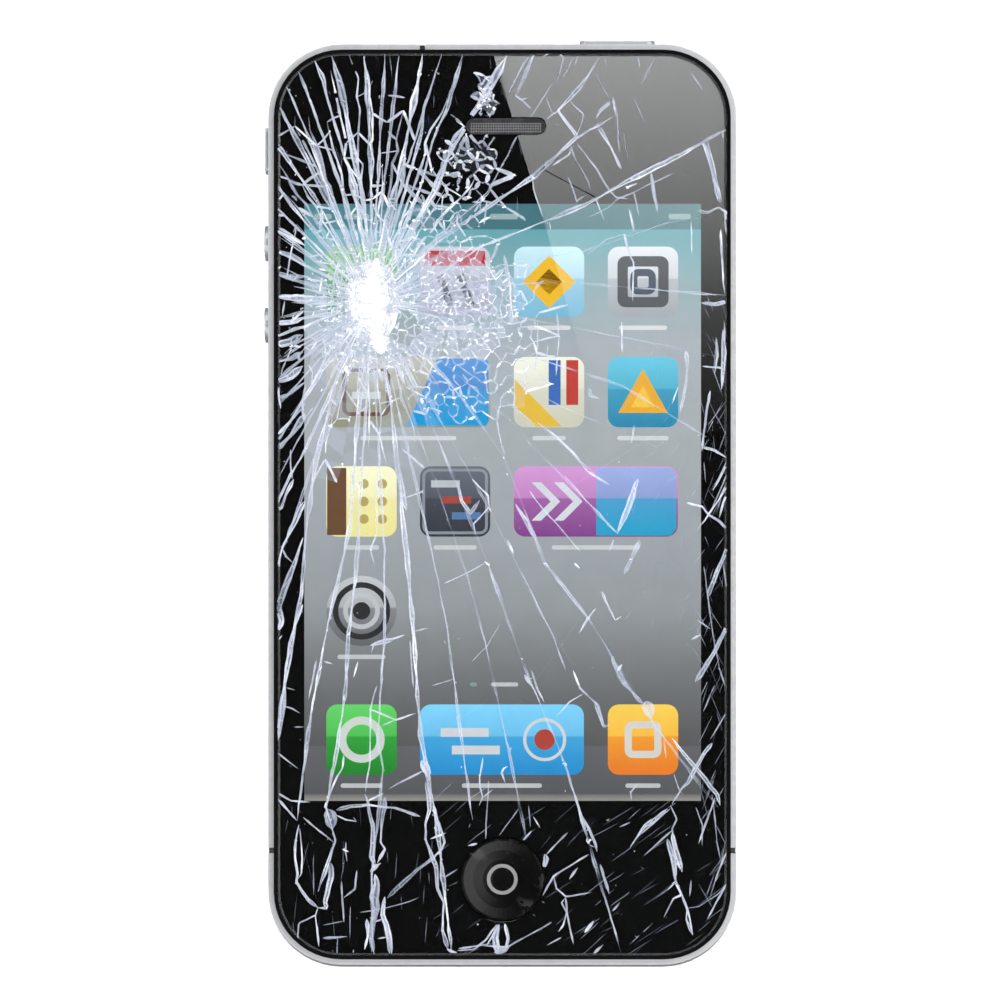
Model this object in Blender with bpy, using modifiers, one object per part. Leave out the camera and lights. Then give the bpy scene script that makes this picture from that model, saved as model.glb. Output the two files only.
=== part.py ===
"""Mobile phone with a shattered front glass, lying on its back.

Metres, +Z up. The screen faces +Z and the earpiece end points to +Y. The origin is the
centre of the back glass's outer face.
"""

import math
import random

import bmesh
import bpy
from mathutils import Matrix, Vector

# Outline of the steel band
BODY_WIDTH = 0.0586
BODY_LENGTH = 0.1152
CORNER_RADIUS = 0.0092
CORNER_STEPS = 12
ROUND_STEPS = 40

# Stack, from the back glass up
BACK_GLASS_THICKNESS = 0.00095
GLUE_GAP = 0.0001
FRAME_FLOOR = 0.0005
FIT_GAP = 0.00005
BAND_HEIGHT = 0.0060
FRONT_GLASS_THICKNESS = 0.00105

# Walls and insets
BAND_WALL = 0.0012
BAND_EDGE_ROUND = 0.00025
FRAME_INSET = 0.00074
FRAME_RIM = 0.00045
RIM_DROP = 0.00025
GLASS_EDGE_ROUND = 0.0003
SLIDE_GAP = 0.0001

# Slits that split the band, measured from the left side and the bottom edge
SLIT_WIDTH = 0.0007
TOP_SLIT_FROM_SIDE = 0.0193
SIDE_SLIT_FROM_BOTTOM = 0.0143

# Screen, set in from the sides and the ends
LCD_SIDE_BORDER = 0.0036
LCD_END_BORDER = 0.0191
LCD_X = 0.00005
LCD_Y = 0.00028
LCD_THICKNESS = 0.0019
TRAY_WALL = 0.0002
MID_PLATE_THICKNESS = 0.0004

# Home button
HOME_FROM_BOTTOM = 0.01075
HOME_RADIUS = 0.0052
HOME_GAP = 0.00015
HOME_DISH = 0.0004
HOME_RIM = 0.00035
HOME_DROP = 0.00005
HOME_FLANGE = 0.0007
HOME_FLANGE_HEIGHT = 0.0006
HOME_TRAVEL = 0.0004
HOME_SWITCH_RADIUS = 0.0018

# Earpiece and front camera
EARPIECE_X = 0.00045
EARPIECE_FROM_TOP = 0.0103
EARPIECE_LENGTH = 0.0101
EARPIECE_HEIGHT = 0.0022
EARPIECE_MESH_DROP = 0.0005
EARPIECE_LEDGE = 0.0005
FRONT_CAMERA_X = -0.0094
FRONT_LENS_RADIUS = 0.0012
FRONT_CAMERA_SIDE = 0.0052

# Buttons in the band
BUTTON_TRAVEL = 0.0004
BUTTON_FLANGE = 0.0004
BUTTON_FLANGE_THICKNESS = 0.0005
BUTTON_EDGE_ROUND = 0.00015
POWER_FROM_SIDE = 0.01486
POWER_LENGTH = 0.0094
POWER_HEIGHT = 0.0022
POWER_PROUD = 0.00055
VOLUME_RADIUS = 0.00202
VOLUME_PROUD = 0.0005
VOLUME_UP_FROM_TOP = 0.0247
VOLUME_PITCH = 0.01025
RING_SWITCH_FROM_TOP = 0.0131
RING_SWITCH_LENGTH = 0.0054
RING_SWITCH_HEIGHT = 0.0021
RING_SWITCH_PROUD = 0.00045
RING_SWITCH_TRAVEL = 0.0010

# Card tray in the right side
SIM_FROM_TOP = 0.0561
SIM_FACE_LENGTH = 0.0146
SIM_FACE_HEIGHT = 0.0019
SIM_FACE_THICKNESS = 0.0011
SIM_DROP = 0.0002
SIM_CARD_LENGTH = 0.0150
SIM_CARD_WIDTH = 0.0120
SIM_CARD_THICKNESS = 0.0007
SIM_TRAY_THICKNESS = 0.0012
SIM_TRAY_BORDER = 0.0007
SIM_PIN_RADIUS = 0.0005

# Ports along the top and bottom edges
JACK_FROM_SIDE = 0.0101
JACK_RADIUS = 0.0024
JACK_BORE = 0.0018
JACK_LENGTH = 0.0140
DOCK_WIDTH = 0.0244
DOCK_HEIGHT = 0.0034
DOCK_DEPTH = 0.0066
DOCK_WALL = 0.00055
DOCK_TONGUE = 0.0008
SCREW_FROM_DOCK = 0.0017
SCREW_HEAD_RADIUS = 0.00095
SCREW_HEAD_HEIGHT = 0.0008
SCREW_SHANK_RADIUS = 0.0006
SCREW_LENGTH = 0.0038
SCREW_SLOT = 0.0003
GRILLE_FROM_SCREW = 0.0039
GRILLE_LENGTH = 0.0048
GRILLE_HEIGHT = 0.0015
GRILLE_BAR = 0.0003
GRILLE_BARS = 5
PORT_DROP = 0.0001

# Inner pieces
INNER_GAP = 0.0001
BATTERY_THICKNESS = 0.0036
BATTERY_FROM_TOP = 0.0166
BATTERY_FROM_BOTTOM = 0.0196
BATTERY_BUTTON_GAP = 0.0008
BOARD_WIDTH = 0.0218
BOARD_THICKNESS = 0.0008
BOARD_FROM_SIDE = 0.0021
BOARD_FROM_TOP = 0.0146
BOARD_FROM_BOTTOM = 0.0216
BOARD_BATTERY_GAP = 0.0006
SHIELD_HEIGHT = 0.0020
SHIELD_BORDER = 0.0014
SHIELD_SIM_GAP = 0.0055
MOTOR_LENGTH = 0.0110
MOTOR_RADIUS = 0.0017
MOTOR_FROM_SIDE = 0.0233
MOTOR_FROM_TOP = 0.0106
SPEAKER_WIDTH = 0.0114
SPEAKER_LENGTH = 0.0140
SPEAKER_HEIGHT = 0.0037
MICROPHONE_SIDE = 0.0050
MICROPHONE_HEIGHT = 0.0018

# Rear camera and flash
REAR_CAMERA_FROM_SIDE = 0.0098
REAR_CAMERA_FROM_TOP = 0.0090
REAR_CAMERA_SIDE = 0.0080
REAR_CAMERA_HEIGHT = 0.0036
REAR_LENS_RADIUS = 0.0026
CAMERA_RING_RADIUS = 0.0036
CAMERA_RING_WALL = 0.0007
FLASH_FROM_CAMERA = 0.0067
FLASH_RADIUS = 0.0013
FLASH_BASE_RADIUS = 0.0018
FLASH_BASE_HEIGHT = 0.0006

# Break in the front glass. Its cracks were read on a glass of the reading's size, from the
# centre of the phone, and stretch with the body.
READING_WIDTH = 0.0586
READING_LENGTH = 0.1152
IMPACT_READING = (-0.01630, 0.02534)
CRACK_WIDTH = 0.0001
GROOVE_WIDTH = 0.00012
GROOVE_DEPTH = 0.0003
CORE_WIDTH = 0.0070
CORE_LENGTH = 0.0108
CORE_PIT = 0.00045
CORE_RINGS = 3
CORE_SEED = 7

# Cracks right through the glass, each as its course away from the impact: millimetres
# from the impact and bearing in degrees, counted from +X towards +Y.
THROUGH_CRACKS = (
    ((9.0, 22.0), (15.5, 27.0), (21.9, 25.2), (29.1, 24.4), (35.9, 25.3), (42.7, 25.4), (49.8, 26.0)),
    ((10.0, 44.0), (18.0, 39.5), (25.5, 37.7), (32.9, 38.8), (33.4, 45.7), (37.4, 45.9), (41.8, 47.0)),
    ((9.0, 61.5), (16.0, 60.5), (22.4, 62.8), (27.9, 61.4), (35.4, 61.1)),
    ((10.0, 79.0), (18.7, 77.7), (24.8, 78.1), (31.6, 78.4)),
    ((9.0, 94.0), (14.6, 95.7), (20.9, 97.4), (26.7, 98.1), (31.1, 99.3)),
    ((7.0, 111.5), (12.2, 113.2), (16.4, 114.1), (27.8, 115.3)),
    ((6.5, 150.0), (13.0, 152.0)),
    ((6.5, 195.0), (13.0, 192.0)),
    ((8.0, 229.0), (14.0, 235.0), (20.0, 236.0)),
    ((11.0, 246.0), (20.6, 250.4), (28.9, 253.7), (37.3, 256.4), (47.3, 257.0), (57.4, 257.8)),
    ((14.0, 263.0), (28.0, 264.5), (41.4, 262.2), (52.5, 261.6), (65.5, 261.8), (76.2, 265.1), (81.0, 265.3)),
    ((12.0, 281.0), (32.4, 277.8), (41.6, 277.2), (54.3, 276.4), (65.5, 277.1), (81.9, 277.0)),
    ((14.0, 297.0), (36.0, 293.9), (48.3, 292.7), (62.6, 292.7), (72.6, 291.9), (87.5, 290.9)),
    ((9.0, 316.0), (16.8, 313.1), (25.5, 310.4), (39.2, 303.5), (48.0, 304.4), (63.4, 303.7), (76.6, 304.4)),
    ((10.0, 345.0), (21.0, 341.0), (33.0, 341.5), (45.0, 338.0)),
)

# Cross cracks: the through crack that each leaves, and how far from the impact, in
# millimetres, it lies on that one and on the next.
CROSS_CRACKS = (
    (0, 31.0, 27.0),
    (11, 56.0, 50.0),
    (12, 52.0, 47.0),
    (12, 73.0, 69.0),
    (13, 33.0, 41.0),
)

# Shallow cracks in the top of the glass, which run out from the impact: read the same way.
GROOVES = (
    ((33.6, 38.4), (35.7, 38.1), (38.0, 37.4)),
    ((19.7, 43.1), (26.5, 47.5)),
    ((12.0, 53.0), (24.5, 54.0)),
    ((12.0, 66.5), (16.2, 67.1), (23.1, 69.4), (32.0, 69.8)),
    ((14.0, 73.0), (21.7, 73.5), (25.2, 74.9), (31.0, 74.2)),
    ((12.0, 85.0), (22.0, 84.0), (30.0, 83.7)),
    ((12.0, 90.0), (19.9, 90.6), (30.0, 91.7)),
    ((12.0, 99.8), (18.2, 100.6), (25.5, 102.3), (30.0, 103.2)),
    ((10.0, 104.5), (19.5, 106.2), (29.0, 107.4)),
    ((10.0, 119.0), (20.2, 120.4), (24.0, 121.3)),
    ((8.0, 129.5), (14.6, 130.0), (17.0, 129.6)),
    ((7.0, 140.0), (13.8, 142.0)),
    ((5.5, 164.0), (11.0, 164.0)),
    ((5.0, 178.0), (10.6, 177.0)),
    ((6.0, 208.0), (12.0, 209.0)),
    ((7.0, 218.0), (14.0, 219.5)),
    ((9.0, 240.0), (21.0, 241.5)),
    ((12.0, 254.5), (22.0, 257.5), (32.0, 259.3)),
    ((34.9, 266.6), (49.5, 266.1), (59.4, 265.4), (69.0, 265.8)),
    ((15.0, 271.0), (31.1, 271.9), (49.8, 271.0), (64.0, 270.5), (79.5, 270.0)),
    ((20.0, 284.0), (33.0, 283.5), (53.0, 281.8), (66.0, 281.0)),
    ((16.0, 289.0), (36.2, 289.2), (44.4, 288.4), (58.6, 287.0), (70.0, 286.3)),
    ((20.0, 301.0), (44.4, 298.5), (52.0, 298.8), (66.0, 298.0)),
    ((12.0, 321.0), (22.7, 319.4), (36.7, 317.1), (41.9, 316.7)),
    ((11.0, 331.0), (27.0, 331.0), (40.0, 333.0)),
    ((8.0, 356.0), (31.0, 352.0), (42.5, 351.0)),
    ((9.0, 8.0), (24.0, 6.0), (42.0, 1.5)),
    ((14.0, 15.5), (29.0, 13.5), (43.5, 14.5)),
)

# Shallow cracks away from the impact: millimetres from the phone's centre, across and along.
STRAY_GROOVES = (
    ((-7.3, -9.9), (-4.6, -8.6), (-2.0, -7.3)),
    ((-20.7, -38.2), (-16.5, -37.6), (-10.3, -39.0)),
    ((-8.2, -43.9), (-10.7, -45.7), (-14.4, -49.1)),
    ((2.4, -8.4), (4.9, -13.6), (6.4, -16.5), (7.9, -20.7)),
    ((8.9, -20.7), (9.7, -23.0), (11.8, -24.9), (12.7, -27.8)),
    ((10.8, -43.7), (6.6, -46.4), (6.9, -48.0), (8.1, -51.2), (8.9, -54.5)),
    ((21.0, -37.6), (21.8, -39.3), (21.2, -40.5)),
    ((20.6, -42.0), (21.6, -46.8), (23.1, -50.3), (23.8, -53.0)),
    ((9.3, 45.1), (11.8, 41.9), (14.3, 38.2)),
    ((12.4, 46.6), (13.5, 44.7), (14.9, 41.9)),
    ((25.2, 45.5), (26.0, 42.8), (27.0, 37.6)),
)

COLORS = {
    "steel": ((0.62, 0.63, 0.65), 0.28, 1.0),
    "button_metal": ((0.70, 0.71, 0.73), 0.30, 1.0),
    "black_plastic": ((0.012, 0.012, 0.014), 0.35, 0.0),
    "back_glass": ((0.010, 0.010, 0.012), 0.06, 0.0),
    "gloss_black": ((0.008, 0.008, 0.010), 0.10, 0.0),
    "screen": ((0.42, 0.44, 0.45), 0.25, 0.0),
    "mesh_grey": ((0.16, 0.16, 0.17), 0.45, 0.8),
    "lens": ((0.02, 0.03, 0.06), 0.04, 0.0),
    "flash": ((0.85, 0.82, 0.55), 0.20, 0.0),
    "battery_wrap": ((0.03, 0.03, 0.035), 0.50, 0.0),
    "board": ((0.02, 0.10, 0.06), 0.55, 0.0),
    "tin": ((0.55, 0.56, 0.57), 0.40, 1.0),
    "white_card": ((0.82, 0.82, 0.80), 0.55, 0.0),
    "shard_glass": ((0.80, 0.88, 0.95), 0.03, 0.0),
    "crushed_glass": ((0.88, 0.92, 0.97), 0.45, 0.0),
}

# Heights worked out from the stack
BACK_FLOOR_Z = BACK_GLASS_THICKNESS + GLUE_GAP
BAND_Z = BACK_FLOOR_Z + FRAME_FLOOR + FIT_GAP
BAND_TOP_Z = BAND_Z + BAND_HEIGHT
BAND_MIDDLE_Z = BAND_Z + BAND_HEIGHT / 2
FRONT_FLOOR_Z = BAND_TOP_Z + FIT_GAP
FRONT_FLOOR_TOP_Z = FRONT_FLOOR_Z + FRAME_FLOOR
GLASS_Z = FRONT_FLOOR_TOP_Z + GLUE_GAP
GLASS_TOP_Z = GLASS_Z + FRONT_GLASS_THICKNESS
LCD_Z = FRONT_FLOOR_TOP_Z - LCD_THICKNESS
TRAY_Z = LCD_Z - FIT_GAP - TRAY_WALL
MID_PLATE_TOP_Z = TRAY_Z - FIT_GAP
MID_PLATE_Z = MID_PLATE_TOP_Z - MID_PLATE_THICKNESS
INNER_Z = BACK_FLOOR_Z + FRAME_FLOOR + INNER_GAP
GLASS_INSET = FRAME_INSET + FRAME_RIM + FIT_GAP
CAVITY_INSET = BAND_WALL + INNER_GAP
SIDE_X = BODY_WIDTH / 2
END_Y = BODY_LENGTH / 2

# Places worked out from the edges
TOP_SLIT_X = TOP_SLIT_FROM_SIDE - SIDE_X
SIDE_SLIT_Y = SIDE_SLIT_FROM_BOTTOM - END_Y
LCD_WIDTH = BODY_WIDTH - 2 * LCD_SIDE_BORDER
LCD_LENGTH = BODY_LENGTH - 2 * LCD_END_BORDER
HOME_Y = HOME_FROM_BOTTOM - END_Y
EARPIECE_Y = END_Y - EARPIECE_FROM_TOP
FRONT_CAMERA_Y = EARPIECE_Y
POWER_X = SIDE_X - POWER_FROM_SIDE
VOLUME_UP_Y = END_Y - VOLUME_UP_FROM_TOP
VOLUME_DOWN_Y = VOLUME_UP_Y - VOLUME_PITCH
RING_SWITCH_Y = END_Y - RING_SWITCH_FROM_TOP
SIM_Y = END_Y - SIM_FROM_TOP
JACK_X = JACK_FROM_SIDE - SIDE_X
SCREW_X = DOCK_WIDTH / 2 + SCREW_FROM_DOCK
GRILLE_X = SCREW_X + GRILLE_FROM_SCREW
REAR_CAMERA_X = SIDE_X - REAR_CAMERA_FROM_SIDE
REAR_CAMERA_Y = END_Y - REAR_CAMERA_FROM_TOP
FLASH_X = REAR_CAMERA_X - FLASH_FROM_CAMERA
BUTTON_END = CAVITY_INSET + BUTTON_FLANGE_THICKNESS + BUTTON_TRAVEL


def start_scene():
    """Empties the scene and makes the collections for the pieces and the cutters."""
    for old in list(bpy.data.objects):
        bpy.data.objects.remove(old, do_unlink=True)
    found = []
    for name in ("shattered_screen_phone", "cutters"):
        group = bpy.data.collections.new(name)
        bpy.context.scene.collection.children.link(group)
        found.append(group)
    return found


PARTS, CUTTERS = start_scene()


def material(name):
    """The Principled material of this name, made on first use."""
    found = bpy.data.materials.get(name)
    if found:
        return found
    color, roughness, metallic = COLORS[name]
    found = bpy.data.materials.new(name)
    found.use_nodes = True
    shader = found.node_tree.nodes["Principled BSDF"]
    shader.inputs["Base Color"].default_value = (*color, 1.0)
    shader.inputs["Roughness"].default_value = roughness
    shader.inputs["Metallic"].default_value = metallic
    if name == "shard_glass":
        shader.inputs["Transmission Weight"].default_value = 1.0
        shader.inputs["IOR"].default_value = 1.5
    return found


def add_part(name, mesh, look):
    """A new named piece with this mesh and material."""
    piece = bpy.data.objects.new(name, mesh)
    mesh.name = name
    mesh.materials.clear()
    mesh.materials.append(material(look))
    PARTS.objects.link(piece)
    return piece


def as_cutter(piece):
    """Takes a piece out of the model and keeps it as a Boolean's operand."""
    PARTS.objects.unlink(piece)
    CUTTERS.objects.link(piece)
    piece.hide_render = True
    piece.display_type = "WIRE"
    return piece


def settled_mesh(piece):
    """The piece's mesh with all its modifiers applied."""
    bpy.context.view_layer.update()
    graph = bpy.context.evaluated_depsgraph_get()
    return bpy.data.meshes.new_from_object(piece.evaluated_get(graph))


def settle(piece):
    """Applies the piece's modifiers."""
    mesh = settled_mesh(piece)
    piece.modifiers.clear()
    piece.data = mesh
    return piece


def shade(piece, angle=35):
    piece.data.shade_smooth()
    piece.data.set_sharp_from_angle(angle=math.radians(angle))
    return piece


def arc(center, radius, start, end, steps):
    """Points on an arc, between two angles in degrees."""
    points = []
    for step in range(steps + 1):
        angle = math.radians(start + (end - start) * step / steps)
        points.append((center[0] + radius * math.cos(angle), center[1] + radius * math.sin(angle)))
    return points


def rounded_box(width, length, radius, center=(0.0, 0.0), steps=CORNER_STEPS):
    """Outline of a rectangle with round corners, counter-clockwise."""
    across = width / 2 - radius
    along = length / 2 - radius
    points = []
    for turn, (side_x, side_y) in enumerate(((1, 1), (-1, 1), (-1, -1), (1, -1))):
        corner = (center[0] + side_x * across, center[1] + side_y * along)
        points += arc(corner, radius, 90 * turn, 90 * turn + 90, steps)
    return points


def slot_outline(length, height, center=(0.0, 0.0), steps=8):
    """Outline of a slot with half-round ends."""
    return rounded_box(length, height, height / 2 * 0.999, center, steps)


def circle(radius, center=(0.0, 0.0), steps=ROUND_STEPS):
    return arc(center, radius, 0, 360, steps)[:-1]


def body_outline(inset):
    """The band's outline, moved inwards."""
    return rounded_box(BODY_WIDTH - 2 * inset, BODY_LENGTH - 2 * inset, CORNER_RADIUS - inset)


def plate(name, outlines, low, high, look):
    """A flat piece from closed outlines, the first solid and the others holes in it."""
    curve = bpy.data.curves.new(name, "CURVE")
    curve.dimensions = "2D"
    curve.fill_mode = "BOTH"
    curve.extrude = (high - low) / 2
    for outline in outlines:
        spline = curve.splines.new("POLY")
        spline.points.add(len(outline) - 1)
        for point, (x, y) in zip(spline.points, outline):
            point.co = (x, y, 0.0, 1.0)
        spline.use_cyclic_u = True
    drawn = bpy.data.objects.new(name + "_outline", curve)
    drawn.location.z = (low + high) / 2
    PARTS.objects.link(drawn)
    mesh = settled_mesh(drawn)
    solid = bmesh.new()
    solid.from_mesh(mesh)
    bmesh.ops.remove_doubles(solid, verts=solid.verts, dist=1e-7)
    bmesh.ops.dissolve_limit(solid, angle_limit=0.001, verts=solid.verts, edges=solid.edges)
    bmesh.ops.recalc_face_normals(solid, faces=solid.faces)
    solid.to_mesh(mesh)
    solid.free()
    piece = add_part(name, mesh, look)
    piece.matrix_world = drawn.matrix_world.copy()
    bpy.data.objects.remove(drawn)
    bpy.data.curves.remove(curve)
    return piece


def block(name, size, center, look, edge=0.0):
    """A box from the cube primitive, with its edges rounded by a Bevel modifier."""
    solid = bmesh.new()
    bmesh.ops.create_cube(solid, size=1.0)
    bmesh.ops.scale(solid, vec=size, verts=solid.verts)
    mesh = bpy.data.meshes.new(name)
    solid.to_mesh(mesh)
    solid.free()
    piece = add_part(name, mesh, look)
    piece.location = center
    if edge:
        bevel(piece, edge)
    return piece


def bevel(piece, width, segments=2, angle=40):
    rounding = piece.modifiers.new("edge_round", "BEVEL")
    rounding.width = width
    rounding.segments = segments
    rounding.limit_method = "ANGLE"
    rounding.angle_limit = math.radians(angle)
    return rounding


def turned(name, profile, look, steps=ROUND_STEPS):
    """A turned piece about its own Z, from (radius, height) points that run down its outside."""
    mesh = bpy.data.meshes.new(name)
    points = [(radius, 0.0, height) for radius, height in profile]
    mesh.from_pydata(points, [(i, i + 1) for i in range(len(points) - 1)], [])
    piece = add_part(name, mesh, look)
    screw = piece.modifiers.new("turn", "SCREW")
    screw.steps = steps
    screw.render_steps = steps
    screw.use_merge_vertices = True
    screw.merge_threshold = 0.000001
    screw.use_smooth_shade = False
    return piece


def boolean(piece, other, operation="DIFFERENCE"):
    cut = piece.modifiers.new(other.name, "BOOLEAN")
    cut.operation = operation
    cut.solver = "EXACT"
    cut.object = as_cutter(other)
    return piece


def islands(piece):
    """The separate bodies of a piece's mesh, as new meshes with their centres."""
    source = bmesh.new()
    source.from_mesh(settled_mesh(piece))
    source.verts.ensure_lookup_table()
    unseen = {vert.index for vert in source.verts}
    found = []
    while unseen:
        group = {unseen.pop()}
        edge = set(group)
        while edge:
            links = [(source.verts[i], link) for i in edge for link in source.verts[i].link_edges]
            linked = {link.other_vert(vert).index for vert, link in links}
            edge = linked & unseen
            unseen -= edge
            group |= edge
        body = source.copy()
        others = [vert for vert in body.verts if vert.index not in group]
        bmesh.ops.delete(body, geom=others, context="VERTS")
        mesh = bpy.data.meshes.new(piece.name)
        body.to_mesh(mesh)
        area = sum(face.calc_area() for face in body.faces)
        middle = sum((face.calc_center_median() * face.calc_area() for face in body.faces), Vector())
        body.free()
        found.append((piece.matrix_world @ (middle / area), mesh))
    source.free()
    return found


def place_on_side(piece, side, along=0.0, height=None):
    """Turns a piece drawn flat so that its +Z points out of the given side of the phone.

    Its drawn X then runs along that side and its drawn Y runs up the phone's thickness.
    """
    axes = {
        "right": ((0, 1, 0), (0, 0, 1), (1, 0, 0), (SIDE_X, 0, 0)),
        "left": ((0, -1, 0), (0, 0, 1), (-1, 0, 0), (-SIDE_X, 0, 0)),
        "top": ((-1, 0, 0), (0, 0, 1), (0, 1, 0), (0, END_Y, 0)),
        "bottom": ((1, 0, 0), (0, 0, 1), (0, -1, 0), (0, -END_Y, 0)),
    }
    across, up, out, origin = (Vector(axis) for axis in axes[side])
    turn = Matrix((across, up, out)).transposed().to_4x4()
    rise = BAND_MIDDLE_Z if height is None else height
    place = Matrix.Translation(origin + across * along + up * rise)
    piece.matrix_world = place @ turn @ piece.matrix_world
    return piece


def make_band():
    """Steel band, split into three by its slits, with the holes for everything that passes it."""
    ring = plate("band", [body_outline(0), body_outline(BAND_WALL)], BAND_Z, BAND_TOP_Z, "steel")
    bevel(ring, BAND_EDGE_ROUND, segments=2)
    reach = 2 * BAND_WALL
    gap = 2 * SLIDE_GAP
    ring_slot_height = RING_SWITCH_HEIGHT + RING_SWITCH_TRAVEL + gap
    power_slot = rounded_box(POWER_LENGTH + gap, POWER_HEIGHT + gap, POWER_HEIGHT / 2)
    holes = (
        ("power_hole", power_slot, "top", -POWER_X, 0),
        ("jack_hole", circle(JACK_RADIUS + SLIDE_GAP, steps=32), "top", -JACK_X, 0),
        ("volume_up_hole", circle(VOLUME_RADIUS + SLIDE_GAP, steps=32), "left", -VOLUME_UP_Y, 0),
        ("volume_down_hole", circle(VOLUME_RADIUS + SLIDE_GAP, steps=32), "left", -VOLUME_DOWN_Y, 0),
        (
            "ring_switch_hole",
            rounded_box(RING_SWITCH_LENGTH + gap, ring_slot_height, RING_SWITCH_HEIGHT / 4),
            "left",
            -RING_SWITCH_Y,
            -RING_SWITCH_TRAVEL / 2,
        ),
        (
            "sim_hole",
            rounded_box(SIM_FACE_LENGTH + gap, SIM_FACE_HEIGHT + gap, SIM_FACE_HEIGHT / 3),
            "right",
            SIM_Y,
            -SIM_DROP,
        ),
        ("dock_hole", rounded_box(DOCK_WIDTH + gap, DOCK_HEIGHT + gap, DOCK_HEIGHT / 3), "bottom", 0, 0),
        ("left_screw_hole", circle(SCREW_HEAD_RADIUS + SLIDE_GAP, steps=24), "bottom", -SCREW_X, 0),
        ("right_screw_hole", circle(SCREW_HEAD_RADIUS + SLIDE_GAP, steps=24), "bottom", SCREW_X, 0),
    )
    cutters = []
    for name, outline, side, along, rise in holes:
        cutter = plate(name, [outline], -reach, reach, "steel")
        cutters.append(place_on_side(cutter, side, along, BAND_MIDDLE_Z + rise))
    for name, center in (("microphone_grille", -GRILLE_X), ("speaker_grille", GRILLE_X)):
        cutters += [place_on_side(cutter, "bottom", center) for cutter in grille_cutters(name, reach)]
    slit_size = (SLIT_WIDTH, 4 * BAND_WALL, 2 * BAND_HEIGHT)
    cutters.append(block("top_slit_cut", slit_size, (TOP_SLIT_X, END_Y, BAND_MIDDLE_Z), "steel"))
    turned_size = (slit_size[1], slit_size[0], slit_size[2])
    for side in (-1, 1):
        center = (side * SIDE_X, SIDE_SLIT_Y, BAND_MIDDLE_Z)
        cutters.append(block(f"side_slit_cut_{side}", turned_size, center, "steel"))
    for cutter in cutters:
        boolean(ring, cutter)
    for middle, mesh in islands(ring):
        if middle.y < SIDE_SLIT_Y:
            name = "band_bottom"
        else:
            name = "band_left" if middle.x < TOP_SLIT_X else "band_right"
        piece = add_part(name, mesh, "steel")
        piece.matrix_world = ring.matrix_world.copy()
        shade(piece)
    as_cutter(ring)


def grille_cutters(name, reach):
    """Openings of a sound grille, side by side with a bar between each two."""
    pitch = GRILLE_LENGTH / GRILLE_BARS
    for index in range(GRILLE_BARS):
        center = -GRILLE_LENGTH / 2 + pitch * (index + 0.5)
        outline = slot_outline(GRILLE_HEIGHT, pitch - GRILLE_BAR, steps=2)
        outline = [(center - y, x) for x, y in outline]
        yield plate(f"{name}_{index}", [outline], -reach, reach, "steel")


def make_slit_inserts():
    """Plastic inserts that fill the band's three slits, flush with it."""
    inset = BAND_EDGE_ROUND / 2
    size = (SLIT_WIDTH - 2 * FIT_GAP, BAND_WALL - inset, BAND_HEIGHT - 2 * inset)
    depth = BAND_WALL / 2 + inset / 2
    block("slit_top", size, (TOP_SLIT_X, END_Y - depth, BAND_MIDDLE_Z), "black_plastic")
    turned_size = (size[1], size[0], size[2])
    for name, side in (("slit_left", -1), ("slit_right", 1)):
        center = (side * (SIDE_X - depth), SIDE_SLIT_Y, BAND_MIDDLE_Z)
        block(name, turned_size, center, "black_plastic")


def make_front_frame():
    """Black plastic frame under the front glass: rim round the glass, floor with its windows."""
    piece = plate(
        "front_frame", [body_outline(FRAME_INSET)], FRONT_FLOOR_Z, GLASS_TOP_Z - RIM_DROP, "black_plastic"
    )
    pocket = plate(
        "front_pocket", [body_outline(FRAME_INSET + FRAME_RIM)], FRONT_FLOOR_TOP_Z, 2 * GLASS_TOP_Z, "steel"
    )
    boolean(piece, pocket)
    window = rounded_box(LCD_WIDTH + 2 * INNER_GAP, LCD_LENGTH + 2 * INNER_GAP, 0.0006, (LCD_X, LCD_Y), 2)
    openings = (
        ("lcd_window", window),
        ("home_window", circle(HOME_RADIUS + HOME_GAP, (0, HOME_Y))),
        ("front_lens_window", circle(FRONT_LENS_RADIUS + SLIDE_GAP, (FRONT_CAMERA_X, FRONT_CAMERA_Y), 24)),
        ("earpiece_window", earpiece_outline(-EARPIECE_LEDGE)),
    )
    low = FRONT_FLOOR_Z - FRAME_FLOOR
    cutters = [plate(name, [outline], low, GLASS_Z, "steel") for name, outline in openings]
    for cutter in cutters:
        boolean(piece, cutter)
    return shade(settle(piece))


def make_back_frame():
    """Black plastic frame that carries the back glass."""
    piece = plate(
        "back_frame", [body_outline(FRAME_INSET)], RIM_DROP, BACK_FLOOR_Z + FRAME_FLOOR, "black_plastic"
    )
    pocket_outline = body_outline(FRAME_INSET + FRAME_RIM)
    pocket = plate("back_pocket", [pocket_outline], -BACK_FLOOR_Z, BACK_FLOOR_Z, "steel")
    boolean(piece, pocket)
    openings = (
        ("rear_lens_window", circle(REAR_LENS_RADIUS + SLIDE_GAP, (REAR_CAMERA_X, REAR_CAMERA_Y))),
        ("flash_floor_window", circle(FLASH_RADIUS + SLIDE_GAP, (FLASH_X, REAR_CAMERA_Y), 24)),
    )
    for name, outline in openings:
        boolean(piece, plate(name, [outline], 0, 2 * BACK_FLOOR_Z, "steel"))
    return shade(settle(piece))


def make_back_glass():
    """Back glass, with holes for the camera ring and the flash."""
    outlines = [
        body_outline(GLASS_INSET),
        circle(CAMERA_RING_RADIUS + SLIDE_GAP, (REAR_CAMERA_X, REAR_CAMERA_Y)),
        circle(FLASH_RADIUS + SLIDE_GAP, (FLASH_X, REAR_CAMERA_Y), 24),
    ]
    piece = plate("back_glass", outlines, 0, BACK_GLASS_THICKNESS, "back_glass")
    round_rim(piece, -1)
    return shade(piece)


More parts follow.
